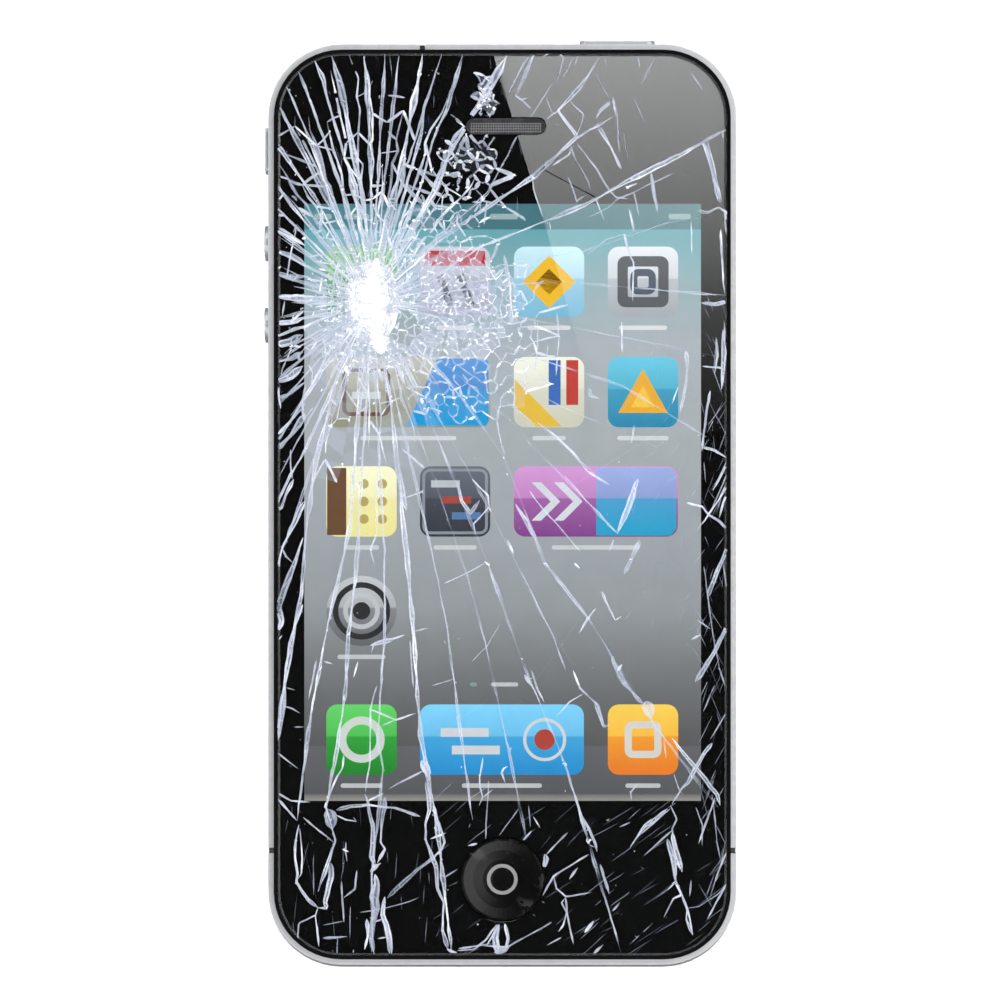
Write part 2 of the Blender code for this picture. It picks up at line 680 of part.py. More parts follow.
def round_rim(piece, side):
    """Rounds a glass's outer rim on its top (side 1) or its bottom (side -1) face."""
    solid = bmesh.new()
    solid.from_mesh(piece.data)
    heights = [vert.co.z for vert in solid.verts]
    level = max(heights) if side > 0 else min(heights)
    reach = GLASS_EDGE_ROUND / 4
    limit_x = SIDE_X - GLASS_INSET
    limit_y = END_Y - GLASS_INSET
    corner = CORNER_RADIUS - GLASS_INSET

    def on_rim(point):
        if abs(point.z - level) > 1e-7:
            return False
        past_x = max(abs(point.x) - limit_x + corner, 0)
        past_y = max(abs(point.y) - limit_y + corner, 0)
        return math.hypot(past_x, past_y) > corner - reach

    rim = [edge for edge in solid.edges if all(on_rim(vert.co) for vert in edge.verts)]
    bmesh.ops.bevel(solid, geom=rim, offset=GLASS_EDGE_ROUND, segments=2, profile=0.5, affect="EDGES")
    solid.to_mesh(piece.data)
    solid.free()


def earpiece_outline(grow):
    """The earpiece slot's outline, made larger or smaller all round."""
    return slot_outline(EARPIECE_LENGTH + 2 * grow, EARPIECE_HEIGHT + 2 * grow, (EARPIECE_X, EARPIECE_Y))


def on_glass(reading):
    """A place read from the phone's centre, stretched to the body's size."""
    return Vector((reading[0] * BODY_WIDTH / READING_WIDTH, reading[1] * BODY_LENGTH / READING_LENGTH))


def polar(distance, bearing):
    """The point at a distance in metres and a bearing from the impact."""
    angle = math.radians(bearing)
    x = IMPACT_READING[0] + distance * math.cos(angle)
    y = IMPACT_READING[1] + distance * math.sin(angle)
    return on_glass((x, y))


def core_distance(bearing):
    """How far the crushed core reaches at this bearing: an ellipse, longer along the phone."""
    angle = math.radians(bearing)
    return 1 / math.hypot(2 * math.cos(angle) / CORE_WIDTH, 2 * math.sin(angle) / CORE_LENGTH)


def crack_course(readings):
    """A through crack from the edge of the core to well past the glass."""
    points = [polar(core_distance(readings[0][1]), readings[0][1])]
    points += [polar(distance / 1000, bearing) for distance, bearing in readings]
    onward = (points[-1] - points[-2]).normalized()
    points.append(points[-1] + onward * BODY_WIDTH)
    return points


def point_at(readings, distance):
    """Where a through crack is this far, in millimetres, from the impact."""
    for (near, from_bearing), (far, to_bearing) in zip(readings, readings[1:]):
        if near <= distance <= far:
            share = (distance - near) / (far - near)
            start = polar(near / 1000, from_bearing)
            return start.lerp(polar(far / 1000, to_bearing), share)
    return polar(readings[-1][0] / 1000, readings[-1][1])


def crack_wall(name, course, low, high, width, closed=False):
    """A thin upright wall along a course: a ribbon made solid, which cuts the glass."""
    curve = bpy.data.curves.new(name, "CURVE")
    curve.dimensions = "2D"
    curve.fill_mode = "NONE"
    curve.extrude = (high - low) / 2
    spline = curve.splines.new("POLY")
    spline.points.add(len(course) - 1)
    for point, place in zip(spline.points, course):
        point.co = (place[0], place[1], 0.0, 1.0)
    spline.use_cyclic_u = closed
    drawn = bpy.data.objects.new(name + "_line", curve)
    drawn.location.z = (low + high) / 2
    PARTS.objects.link(drawn)
    mesh = settled_mesh(drawn)
    ribbon = bmesh.new()
    ribbon.from_mesh(mesh)
    bmesh.ops.remove_doubles(ribbon, verts=ribbon.verts, dist=1e-7)
    ribbon.to_mesh(mesh)
    ribbon.free()
    wall = add_part(name, mesh, "shard_glass")
    wall.matrix_world = drawn.matrix_world.copy()
    bpy.data.objects.remove(drawn)
    bpy.data.curves.remove(curve)
    thick = wall.modifiers.new("thickness", "SOLIDIFY")
    thick.thickness = width
    thick.offset = 0.0
    thick.use_even_offset = True
    return settle(wall)


def make_front_glass():
    """Front glass, broken into shards by cracks right through it, with shallow cracks in its top."""
    outlines = [
        body_outline(GLASS_INSET),
        earpiece_outline(0),
        circle(HOME_RADIUS + HOME_GAP, (0, HOME_Y)),
    ]
    blank = plate("front_glass", outlines, GLASS_Z, GLASS_TOP_Z, "shard_glass")
    round_rim(blank, 1)
    low = GLASS_Z - GLUE_GAP
    high = GLASS_TOP_Z + GLUE_GAP
    walls = bpy.data.collections.new("crack_walls")
    CUTTERS.children.link(walls)
    courses = [crack_course(readings) for readings in THROUGH_CRACKS]
    cuts = [crack_wall(f"crack_{i}", course, low, high, CRACK_WIDTH) for i, course in enumerate(courses)]
    cuts.append(crack_wall("core_ring", [course[0] for course in courses], low, high, CRACK_WIDTH, True))
    for index, (first, here, there) in enumerate(CROSS_CRACKS):
        start = point_at(THROUGH_CRACKS[first], here)
        end = point_at(THROUGH_CRACKS[(first + 1) % len(THROUGH_CRACKS)], there)
        cuts.append(crack_wall(f"cross_{index}", [start, end], low, high, CRACK_WIDTH))
    grooves = [[polar(distance / 1000, bearing) for distance, bearing in readings] for readings in GROOVES]
    grooves += [[on_glass((x / 1000, y / 1000)) for x, y in readings] for readings in STRAY_GROOVES]
    floor = GLASS_TOP_Z - GROOVE_DEPTH
    cuts += [crack_wall(f"groove_{i}", course, floor, high, GROOVE_WIDTH) for i, course in enumerate(grooves)]
    for cut in cuts:
        as_cutter(cut)
        CUTTERS.objects.unlink(cut)
        walls.objects.link(cut)
    breaking = blank.modifiers.new("cracks", "BOOLEAN")
    breaking.operand_type = "COLLECTION"
    breaking.collection = walls
    breaking.solver = "EXACT"
    name_shards(blank)


def name_shards(blank):
    """Makes each body of the broken glass a piece: the core, and shards numbered round it."""
    impact = on_glass(IMPACT_READING)
    pieces = []
    for middle, mesh in islands(blank):
        away = middle.xy - impact
        bearing = math.degrees(math.atan2(away.y, away.x)) % 360
        pieces.append((away.length, bearing, mesh))
    pieces.sort(key=lambda entry: entry[0])
    core = add_part("glass_core", pieces[0][2], "crushed_glass")
    core.matrix_world = blank.matrix_world.copy()
    crush(core)
    shards = sorted(pieces[1:], key=lambda entry: (round(entry[1]), entry[0]))
    for number, (distance, bearing, mesh) in enumerate(shards, 1):
        shard = add_part(f"glass_shard_{number:02d}", mesh, "shard_glass")
        shard.matrix_world = blank.matrix_world.copy()
    as_cutter(blank)


def crush(core):
    """Crumbles the core's top face into small facets pushed down by the blow."""
    solid = bmesh.new()
    solid.from_mesh(core.data)
    top = max(vert.co.z for vert in solid.verts)
    caps = [face for face in solid.faces if face.normal.z > 0.9]
    bmesh.ops.dissolve_faces(solid, faces=caps)
    caps = [face for face in solid.faces if face.normal.z > 0.9]
    rim = {vert for face in caps for vert in face.verts}
    poked = bmesh.ops.poke(solid, faces=caps)
    spokes = [edge for vert in poked["verts"] for edge in vert.link_edges]
    bmesh.ops.subdivide_edges(solid, edges=spokes, cuts=CORE_RINGS)
    bmesh.ops.triangulate(solid, faces=[face for face in solid.faces if face.normal.z > 0.9])
    shake = random.Random(CORE_SEED)
    for vert in sorted(solid.verts, key=lambda vert: (round(vert.co.x, 7), round(vert.co.y, 7))):
        if vert.co.z > top - 1e-7 and vert not in rim:
            vert.co.z -= CORE_PIT * shake.uniform(0.1, 1.0)
    solid.to_mesh(core.data)
    solid.free()


def make_screen():
    """LCD panel in its steel tray, on the mid plate."""
    center = (LCD_X, LCD_Y)
    panel = rounded_box(LCD_WIDTH, LCD_LENGTH, 0.0005, center, 2)
    plate("lcd_panel", [panel], LCD_Z, FRONT_FLOOR_TOP_Z, "screen")
    grow = 2 * (FIT_GAP + TRAY_WALL)
    outside = rounded_box(LCD_WIDTH + grow, LCD_LENGTH + grow, 0.0007, center, 3)
    inside = rounded_box(LCD_WIDTH + 2 * FIT_GAP, LCD_LENGTH + 2 * FIT_GAP, 0.0005, center, 2)
    tray = plate("lcd_tray", [outside], TRAY_Z, FRONT_FLOOR_Z - FIT_GAP, "tin")
    boolean(tray, plate("tray_pocket", [inside], TRAY_Z + TRAY_WALL, GLASS_Z, "tin"))
    settle(tray)


def make_mid_plate():
    """Steel plate across the band, notched round what stands taller than the space under it."""
    piece = plate("mid_plate", [body_outline(CAVITY_INSET)], MID_PLATE_Z, MID_PLATE_TOP_Z, "tin")
    gap = 2 * INNER_GAP
    inner_end = BUTTON_END + gap
    low_y = VOLUME_DOWN_Y - VOLUME_RADIUS - BUTTON_FLANGE - gap
    high_y = RING_SWITCH_Y + RING_SWITCH_LENGTH / 2 + BUTTON_FLANGE + gap
    half_power = POWER_LENGTH / 2 + BUTTON_FLANGE + gap
    jack_end = END_Y - PORT_DROP - JACK_LENGTH - gap
    notches = (
        (-SIDE_X, -SIDE_X + inner_end, low_y, high_y),
        (POWER_X - half_power, POWER_X + half_power, END_Y - inner_end, END_Y),
        (JACK_X - JACK_RADIUS - gap, JACK_X + JACK_RADIUS + gap, jack_end, END_Y),
        (-DOCK_WIDTH / 2 - gap, DOCK_WIDTH / 2 + gap, -END_Y, -END_Y + DOCK_DEPTH + PORT_DROP + gap),
    )
    for index, (left, right, near, far) in enumerate(notches):
        size = (right - left, far - near, 4 * MID_PLATE_THICKNESS)
        center = ((left + right) / 2, (near + far) / 2, MID_PLATE_Z)
        boolean(piece, block(f"plate_notch_{index}", size, center, "tin"))
    settle(piece)


def make_home_button():
    """Dished home button, with the flange that keeps it under the frame, over its switch."""
    top = GLASS_TOP_Z - HOME_DROP
    low = FRONT_FLOOR_Z - SLIDE_GAP - HOME_FLANGE_HEIGHT
    dish_radius = HOME_RADIUS - HOME_RIM
    profile = []
    rings = 4
    for ring in range(rings + 1):
        share = ring / rings
        profile.append((dish_radius * share, top - low - HOME_DISH * (1 - share**2)))
    profile += [
        (HOME_RADIUS - HOME_RIM / 3, top - low),
        (HOME_RADIUS, top - low - HOME_RIM / 3),
        (HOME_RADIUS, HOME_FLANGE_HEIGHT),
        (HOME_RADIUS + HOME_FLANGE, HOME_FLANGE_HEIGHT),
        (HOME_RADIUS + HOME_FLANGE, 0.0),
        (0.0, 0.0),
    ]
    button = turned("home_button", profile, "gloss_black", 48)
    button.location = (0, HOME_Y, low)
    shade(settle(button))
    seat = MID_PLATE_TOP_Z + FIT_GAP
    height = low - HOME_TRAVEL - INNER_GAP - seat
    dome = [(0.0, height), (HOME_SWITCH_RADIUS * 0.6, height * 0.9), (HOME_SWITCH_RADIUS, height * 0.5)]
    dome += [(HOME_SWITCH_RADIUS, 0.0), (0.0, 0.0)]
    switch = turned("home_switch", dome, "tin", 24)
    switch.location = (0, HOME_Y, seat)
    shade(settle(switch))


def make_earpiece():
    """Metal mesh in the glass's slot and the small speaker under the frame."""
    mesh_top = GLASS_TOP_Z - EARPIECE_MESH_DROP
    outline = earpiece_outline(-SLIDE_GAP)
    plate("earpiece_mesh", [outline], FRONT_FLOOR_TOP_Z + FIT_GAP, mesh_top, "mesh_grey")
    seat = MID_PLATE_TOP_Z + FIT_GAP
    height = FRONT_FLOOR_Z - FIT_GAP - seat
    size = (EARPIECE_LENGTH + EARPIECE_HEIGHT, 2 * EARPIECE_HEIGHT, height)
    block("earpiece_speaker", size, (EARPIECE_X, EARPIECE_Y, seat + height / 2), "black_plastic", 0.0003)


def make_front_camera():
    """Front camera: a square body under the frame, with its lens in the frame's hole."""
    seat = MID_PLATE_TOP_Z + FIT_GAP
    height = FRONT_FLOOR_Z - FIT_GAP - seat
    center = (FRONT_CAMERA_X, FRONT_CAMERA_Y, seat + height / 2)
    body = block("front_camera", (FRONT_CAMERA_SIDE, FRONT_CAMERA_SIDE, height), center, "lens")
    lens_top = FRONT_FLOOR_TOP_Z - FIT_GAP
    barrel = plate(
        "front_barrel",
        [circle(FRONT_LENS_RADIUS, (FRONT_CAMERA_X, FRONT_CAMERA_Y), 24)],
        seat + height / 2,
        lens_top,
        "lens",
    )
    settle(boolean(body, barrel, "UNION"))


def side_button(name, outline, flange, proud, side, along, look, rise=0.0):
    """A button that stands out of a side, with a flange behind the band's wall.

    The piece's own origin is on its axis of travel, at the band's outer face.
    """
    root = -CAVITY_INSET
    stem = plate(name, [outline], root - BUTTON_FLANGE_THICKNESS, proud, look)
    bevel_top(stem, proud)
    base = plate(name + "_flange", [flange], root - BUTTON_FLANGE_THICKNESS, root, look)
    boolean(stem, base, "UNION")
    settle(stem)
    stem.data.transform(stem.matrix_world)
    stem.matrix_world = Matrix.Identity(4)
    place_on_side(stem, side, along, BAND_MIDDLE_Z + rise)
    return shade(stem, 30)


def bevel_top(piece, height):
    """Rounds the edge of a piece's outer face."""
    solid = bmesh.new()
    solid.from_mesh(piece.data)
    level = height - piece.matrix_world.translation.z
    rim = [edge for edge in solid.edges if all(abs(vert.co.z - level) < 1e-7 for vert in edge.verts)]
    bmesh.ops.bevel(solid, geom=rim, offset=BUTTON_EDGE_ROUND, segments=2, profile=0.5, affect="EDGES")
    solid.to_mesh(piece.data)
    solid.free()


def make_buttons():
    """Power button, volume buttons and the ring switch."""
    grow = 2 * BUTTON_FLANGE
    side_button(
        "power_button",
        rounded_box(POWER_LENGTH, POWER_HEIGHT, POWER_HEIGHT * 0.45, steps=6),
        rounded_box(POWER_LENGTH + grow, POWER_HEIGHT + grow, POWER_HEIGHT * 0.45, steps=6),
        POWER_PROUD,
        "top",
        -POWER_X,
        "button_metal",
    )
    for name, along in (("volume_up_button", VOLUME_UP_Y), ("volume_down_button", VOLUME_DOWN_Y)):
        side_button(
            name,
            circle(VOLUME_RADIUS, steps=32),
            circle(VOLUME_RADIUS + BUTTON_FLANGE, steps=32),
            VOLUME_PROUD,
            "left",
            -along,
            "button_metal",
        )
    side_button(
        "ring_switch",
        rounded_box(RING_SWITCH_LENGTH, RING_SWITCH_HEIGHT, RING_SWITCH_HEIGHT / 5, steps=4),
        rounded_box(RING_SWITCH_LENGTH + grow, RING_SWITCH_HEIGHT + grow, RING_SWITCH_HEIGHT / 5, steps=4),
        RING_SWITCH_PROUD,
        "left",
        -RING_SWITCH_Y,
        "button_metal",
    )


def make_sim_tray():
    """Card tray with its face plate in the right side, and the card that it carries."""
    face_back = SIDE_X - PORT_DROP - SIM_FACE_THICKNESS
    height = BAND_MIDDLE_Z - SIM_DROP
    face = plate(
        "sim_tray",
        [
            rounded_box(SIM_FACE_LENGTH, SIM_FACE_HEIGHT, SIM_FACE_HEIGHT * 0.3, steps=4),
            circle(SIM_PIN_RADIUS, (SIM_FACE_LENGTH * 0.36, 0), 12),
        ],
        -PORT_DROP - SIM_FACE_THICKNESS,
        -PORT_DROP,
        "button_metal",
    )
    place_on_side(face, "right", SIM_Y, height)
    tray_length = SIM_CARD_LENGTH + 2 * (SIM_TRAY_BORDER + FIT_GAP)
    tray_width = SIM_CARD_WIDTH + 2 * (SIM_TRAY_BORDER + FIT_GAP)
    inset = SIM_FACE_THICKNESS / 2
    size = (tray_length + inset, tray_width, SIM_TRAY_THICKNESS)
    tray_middle = face_back - (tray_length - inset) / 2
    boolean(face, block("tray_plate", size, (tray_middle, SIM_Y, height), "button_metal"), "UNION")
    floor = SIM_TRAY_THICKNESS - SIM_CARD_THICKNESS - FIT_GAP
    card_middle = face_back - tray_length / 2
    pocket_size = (SIM_CARD_LENGTH + 2 * FIT_GAP, SIM_CARD_WIDTH + 2 * FIT_GAP, SIM_TRAY_THICKNESS)
    pocket = block("card_pocket", pocket_size, (card_middle, SIM_Y, height + floor), "button_metal")
    boolean(face, pocket)
    opening_size = (SIM_CARD_LENGTH - 2 * SIM_TRAY_BORDER, SIM_CARD_WIDTH - 2 * SIM_TRAY_BORDER, 0.01)
    boolean(face, block("card_opening", opening_size, (card_middle, SIM_Y, height), "button_metal"))
    settle(face)
    card_size = (SIM_CARD_LENGTH, SIM_CARD_WIDTH, SIM_CARD_THICKNESS)
    card_z = height - SIM_TRAY_THICKNESS / 2 + floor + FIT_GAP + SIM_CARD_THICKNESS / 2
    block("sim_card", card_size, (card_middle, SIM_Y, card_z), "white_card")


def make_headphone_jack():
    """Turned barrel of the headphone socket, closed at its inner end."""
    bottom = JACK_LENGTH / 12
    profile = [
        (0.0, bottom),
        (JACK_BORE, bottom),
        (JACK_BORE, JACK_LENGTH),
        (JACK_RADIUS, JACK_LENGTH),
        (JACK_RADIUS, 0.0),
        (0.0, 0.0),
    ]
    jack = turned("headphone_jack", profile, "black_plastic", 32)
    jack.location.z = -PORT_DROP - JACK_LENGTH
    bpy.context.view_layer.update()
    place_on_side(jack, "top", -JACK_X)
    shade(settle(jack))


def make_dock_connector():
    """Dock socket: an oblong shell, open at the bottom edge, with the contact tongue in it."""
    shell_outline = rounded_box(DOCK_WIDTH, DOCK_HEIGHT, DOCK_HEIGHT * 0.3, steps=4)
    shell = plate("dock_connector", [shell_outline], -PORT_DROP - DOCK_DEPTH, -PORT_DROP, "tin")
    mouth_outline = rounded_box(
        DOCK_WIDTH - 2 * DOCK_WALL, DOCK_HEIGHT - 2 * DOCK_WALL, DOCK_HEIGHT * 0.15, steps=4
    )
    boolean(shell, plate("dock_mouth", [mouth_outline], -DOCK_DEPTH + DOCK_WALL, DOCK_DEPTH, "tin"))
    tongue_size = (DOCK_WIDTH - 6 * DOCK_WALL, DOCK_TONGUE, DOCK_DEPTH - 3 * DOCK_WALL)
    tongue_z = -PORT_DROP - DOCK_DEPTH + DOCK_WALL / 2 + tongue_size[2] / 2
    boolean(shell, block("dock_tongue", tongue_size, (0, 0, tongue_z), "black_plastic"), "UNION")
    settle(shell)
    place_on_side(shell, "bottom")


def make_bottom_screws():
    """The two screws beside the dock socket, with a cross slot in the head."""
    profile = [
        (0.0, 0.0),
        (SCREW_HEAD_RADIUS, 0.0),
        (SCREW_HEAD_RADIUS, -SCREW_HEAD_HEIGHT),
        (SCREW_SHANK_RADIUS, -SCREW_HEAD_HEIGHT),
        (SCREW_SHANK_RADIUS, -SCREW_LENGTH),
        (0.0, -SCREW_LENGTH),
    ]
    arm = 1.3 * SCREW_HEAD_RADIUS
    for name, along in (("bottom_screw_left", -SCREW_X), ("bottom_screw_right", SCREW_X)):
        screw = turned(name, profile, "tin", 24)
        slot = block(f"{name}_slot", (arm, SCREW_SLOT, SCREW_HEAD_HEIGHT), (0, 0, 0), "tin")
        crossing = block(f"{name}_cross", (SCREW_SLOT, arm, SCREW_HEAD_HEIGHT), (0, 0, 0), "tin")
        boolean(screw, slot)
        boolean(screw, crossing)
        settle(screw)
        screw.location.z = -PORT_DROP
        bpy.context.view_layer.update()
        place_on_side(screw, "bottom", along)
        shade(screw)


def inner_block(name, across, along, low, height, look, edge=0.0):
    """A block between two places across the phone and two along it, standing at a height."""
    size = (across[1] - across[0], along[1] - along[0], height)
    center = (sum(across) / 2, sum(along) / 2, low + height / 2)
    return block(name, size, center, look, edge)


def make_inner_pieces():
    """Battery, board and its shields, vibration motor, loudspeaker and microphone."""
    board_left = SIDE_X - BOARD_FROM_SIDE - BOARD_WIDTH
    board_top = END_Y - BOARD_FROM_TOP
    board_bottom = BOARD_FROM_BOTTOM - END_Y
    battery_left = BUTTON_END + BATTERY_BUTTON_GAP - SIDE_X
    inner_block(
        "battery",
        (battery_left, board_left - BOARD_BATTERY_GAP),
        (BATTERY_FROM_BOTTOM - END_Y, END_Y - BATTERY_FROM_TOP),
        INNER_Z,
        BATTERY_THICKNESS,
        "battery_wrap",
        0.0008,
    )
    board_right = board_left + BOARD_WIDTH
    inner_block(
        "logic_board", (board_left, board_right), (board_bottom, board_top), INNER_Z, BOARD_THICKNESS, "board"
    )
    sim_end = SIM_CARD_WIDTH / 2 + SHIELD_SIM_GAP
    shields = (
        ("upper_shield", SIM_Y + sim_end, board_top - SHIELD_BORDER),
        ("lower_shield", board_bottom + SHIELD_BORDER, SIM_Y - sim_end),
    )
    for name, near, far in shields:
        sides = (board_left + SHIELD_BORDER, board_right - SHIELD_BORDER)
        seat = INNER_Z + BOARD_THICKNESS + FIT_GAP
        inner_block(name, sides, (near, far), seat, SHIELD_HEIGHT, "tin", 0.0003)
    motor = turned(
        "vibration_motor",
        [(0.0, MOTOR_LENGTH / 2), (MOTOR_RADIUS, MOTOR_LENGTH / 2), (MOTOR_RADIUS, -MOTOR_LENGTH / 2)]
        + [(0.0, -MOTOR_LENGTH / 2)],
        "tin",
        24,
    )
    motor.rotation_euler.y = math.pi / 2
    motor.location = (MOTOR_FROM_SIDE - SIDE_X, END_Y - MOTOR_FROM_TOP, INNER_Z + MOTOR_RADIUS)
    shade(settle(motor))
    make_loudspeaker()
    make_microphone()


def make_loudspeaker():
    """Loudspeaker box behind the right-hand grille, its corner trimmed to the band's inside."""
    near = SCREW_X + SCREW_HEAD_RADIUS + INNER_GAP * 2
    center = (
        near + SPEAKER_WIDTH / 2,
        -END_Y + CAVITY_INSET + SPEAKER_LENGTH / 2,
        INNER_Z + SPEAKER_HEIGHT / 2,
    )
    box = block("loudspeaker", (SPEAKER_WIDTH, SPEAKER_LENGTH, SPEAKER_HEIGHT), center, "black_plastic")
    cavity = plate("speaker_room", [body_outline(CAVITY_INSET)], 0, GLASS_TOP_Z, "black_plastic")
    boolean(box, cavity, "INTERSECT")
    settle(box)


def make_microphone():
    """Microphone behind the left-hand grille."""
    center = (-GRILLE_X, -END_Y + CAVITY_INSET + MICROPHONE_SIDE / 2, BAND_MIDDLE_Z - 2 * INNER_GAP)
    size = (MICROPHONE_SIDE, MICROPHONE_SIDE, MICROPHONE_HEIGHT)
    block("microphone", size, center, "black_plastic", 0.0002)


def make_rear_camera():
    """Rear camera, with its barrel through the back frame, its ring and window, and the flash."""
    center = (REAR_CAMERA_X, REAR_CAMERA_Y, INNER_Z + REAR_CAMERA_HEIGHT / 2)
    size = (REAR_CAMERA_SIDE, REAR_CAMERA_SIDE, REAR_CAMERA_HEIGHT)
    body = block("rear_camera", size, center, "lens", 0.0004)
    outline = circle(REAR_LENS_RADIUS, (REAR_CAMERA_X, REAR_CAMERA_Y))
    barrel = plate("rear_barrel", [outline], BACK_GLASS_THICKNESS + FIT_GAP, center[2], "lens")
    settle(boolean(body, barrel, "UNION"))
    ring_low = FIT_GAP
    ring = plate(
        "camera_ring",
        [
            circle(CAMERA_RING_RADIUS, (REAR_CAMERA_X, REAR_CAMERA_Y)),
            circle(CAMERA_RING_RADIUS - CAMERA_RING_WALL, (REAR_CAMERA_X, REAR_CAMERA_Y)),
        ],
        ring_low,
        BACK_GLASS_THICKNESS,
        "steel",
    )
    bevel(ring, FIT_GAP, segments=1)
    shade(settle(ring))
    window_radius = CAMERA_RING_RADIUS - CAMERA_RING_WALL - FIT_GAP
    window_outline = circle(window_radius, (REAR_CAMERA_X, REAR_CAMERA_Y))
    window_low = ring_low + RIM_DROP
    plate("camera_window", [window_outline], window_low, BACK_GLASS_THICKNESS - FIT_GAP, "lens")
    flash_low = RIM_DROP
    flash_height = INNER_Z - flash_low
    profile = [
        (0.0, flash_height + FLASH_BASE_HEIGHT),
        (FLASH_BASE_RADIUS, flash_height + FLASH_BASE_HEIGHT),
        (FLASH_BASE_RADIUS, flash_height),
        (FLASH_RADIUS, flash_height),
        (FLASH_RADIUS, 0.0),
        (0.0, 0.0),
    ]
    flash = turned("flash_led", profile, "flash", 24)
    flash.location = (FLASH_X, REAR_CAMERA_Y, flash_low)
    shade(settle(flash))


make_band()
make_slit_inserts()
make_front_frame()
make_back_frame()
make_back_glass()
make_front_glass()
make_screen()
make_mid_plate()
make_home_button()
make_earpiece()
make_front_camera()
make_buttons()
make_sim_tray()
make_headphone_jack()
make_dock_connector()
make_bottom_screws()
make_inner_pieces()
make_rear_camera()
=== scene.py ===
import math

import bmesh
import bpy
import numpy as np
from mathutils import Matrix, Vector
from mathutils.bvhtree import BVHTree
from mathutils.geometry import delaunay_2d_cdt


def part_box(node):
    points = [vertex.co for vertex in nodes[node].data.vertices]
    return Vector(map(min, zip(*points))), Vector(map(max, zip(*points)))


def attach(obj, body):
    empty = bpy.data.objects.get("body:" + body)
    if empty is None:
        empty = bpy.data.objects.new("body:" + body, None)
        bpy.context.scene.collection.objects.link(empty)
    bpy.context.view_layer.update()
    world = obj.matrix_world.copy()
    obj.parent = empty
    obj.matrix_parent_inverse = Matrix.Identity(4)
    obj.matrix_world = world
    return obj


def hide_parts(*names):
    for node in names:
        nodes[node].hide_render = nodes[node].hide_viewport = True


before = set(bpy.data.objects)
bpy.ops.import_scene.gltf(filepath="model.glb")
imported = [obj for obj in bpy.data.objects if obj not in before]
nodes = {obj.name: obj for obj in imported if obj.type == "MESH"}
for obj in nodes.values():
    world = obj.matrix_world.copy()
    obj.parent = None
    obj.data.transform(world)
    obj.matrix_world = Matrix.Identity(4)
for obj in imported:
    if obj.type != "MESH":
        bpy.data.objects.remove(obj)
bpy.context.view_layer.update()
print("frame loaded:", len(nodes), "nodes")

mm = 0.001
glassTop = 9.30      # heights in millimetres above the table
screenLow = 8.15


def tint(red, green, blue):  # display values 0 to 255 as the linear numbers that shaders want
    levels = []
    for value in (red, green, blue):
        share = value / 255
        levels.append(share / 12.92 if share <= 0.04045 else ((share + 0.055) / 1.055) ** 2.4)
    return (levels[0], levels[1], levels[2], 1.0)


def addPiece(name, mesh, look, body="chassis"):
    piece = bpy.data.objects.new(name, mesh)
    bpy.context.scene.collection.objects.link(piece)
    for finish in look if isinstance(look, (list, tuple)) else [look]:
        mesh.materials.append(finish)
    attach(piece, body)
    return piece


def meshFromBuilder(name, builder):
    bmesh.ops.recalc_face_normals(builder, faces=builder.faces)
    mesh = bpy.data.meshes.new(name)
    builder.to_mesh(mesh)
    builder.free()
    return mesh


def boxMiddle(node):
    low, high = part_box(node)
    return [(a + b) / 2 for a, b in zip(low, high)]


def surfaceOf(node):  # a search tree over a frame node, to lay detail on its surface
    mesh = nodes[node].data
    corners = [v.co.copy() for v in mesh.vertices]
    return BVHTree.FromPolygons(corners, [tuple(p.vertices) for p in mesh.polygons])


def arcPoints(cx, cy, radius, start, end, steps):
    return [
        (cx + radius * math.cos(math.radians(a)), cy + radius * math.sin(math.radians(a)))
        for a in np.linspace(start, end, steps)
    ]


def rectangle(x0, y0, x1, y1):
    return [(x0, y0), (x1, y0), (x1, y1), (x0, y1)]


def roundedOutline(cx, cy, width, height, corner, steps=6):
    points = []
    for sx, sy, start in ((1, 1, 0), (-1, 1, 90), (-1, -1, 180), (1, -1, 270)):
        x = cx + sx * (width / 2 - corner)
        y = cy + sy * (height / 2 - corner)
        points += arcPoints(x, y, corner, start, start + 90, steps)
    return points


def addPrism(builder, outline, low, high, slot=0):  # a flat plate between two heights, all in mm
    lower = [builder.verts.new((x * mm, y * mm, low * mm)) for x, y in outline]
    upper = [builder.verts.new((x * mm, y * mm, high * mm)) for x, y in outline]
    made = [builder.faces.new(upper), builder.faces.new(lower[::-1])]
    for i in range(len(outline)):
        j = (i + 1) % len(outline)
        made.append(builder.faces.new((lower[i], lower[j], upper[j], upper[i])))
    for face in made:
        face.material_index = slot


def closeRings(builder, rows, slot=0):  # faces from each row of corners to the next, the last to the first
    for near, far in zip(rows, rows[1:] + rows[:1]):
        for i in range(len(near)):
            j = (i + 1) % len(near)
            builder.faces.new((near[i], near[j], far[j], far[i])).material_index = slot


def addRing(builder, outer, inner, low, high, slot=0):  # outer and inner have the same number of points
    rows = []
    for outline, height in ((outer, low), (outer, high), (inner, high), (inner, low)):
        rows.append([builder.verts.new((x * mm, y * mm, height * mm)) for x, y in outline])
    closeRings(builder, rows, slot)


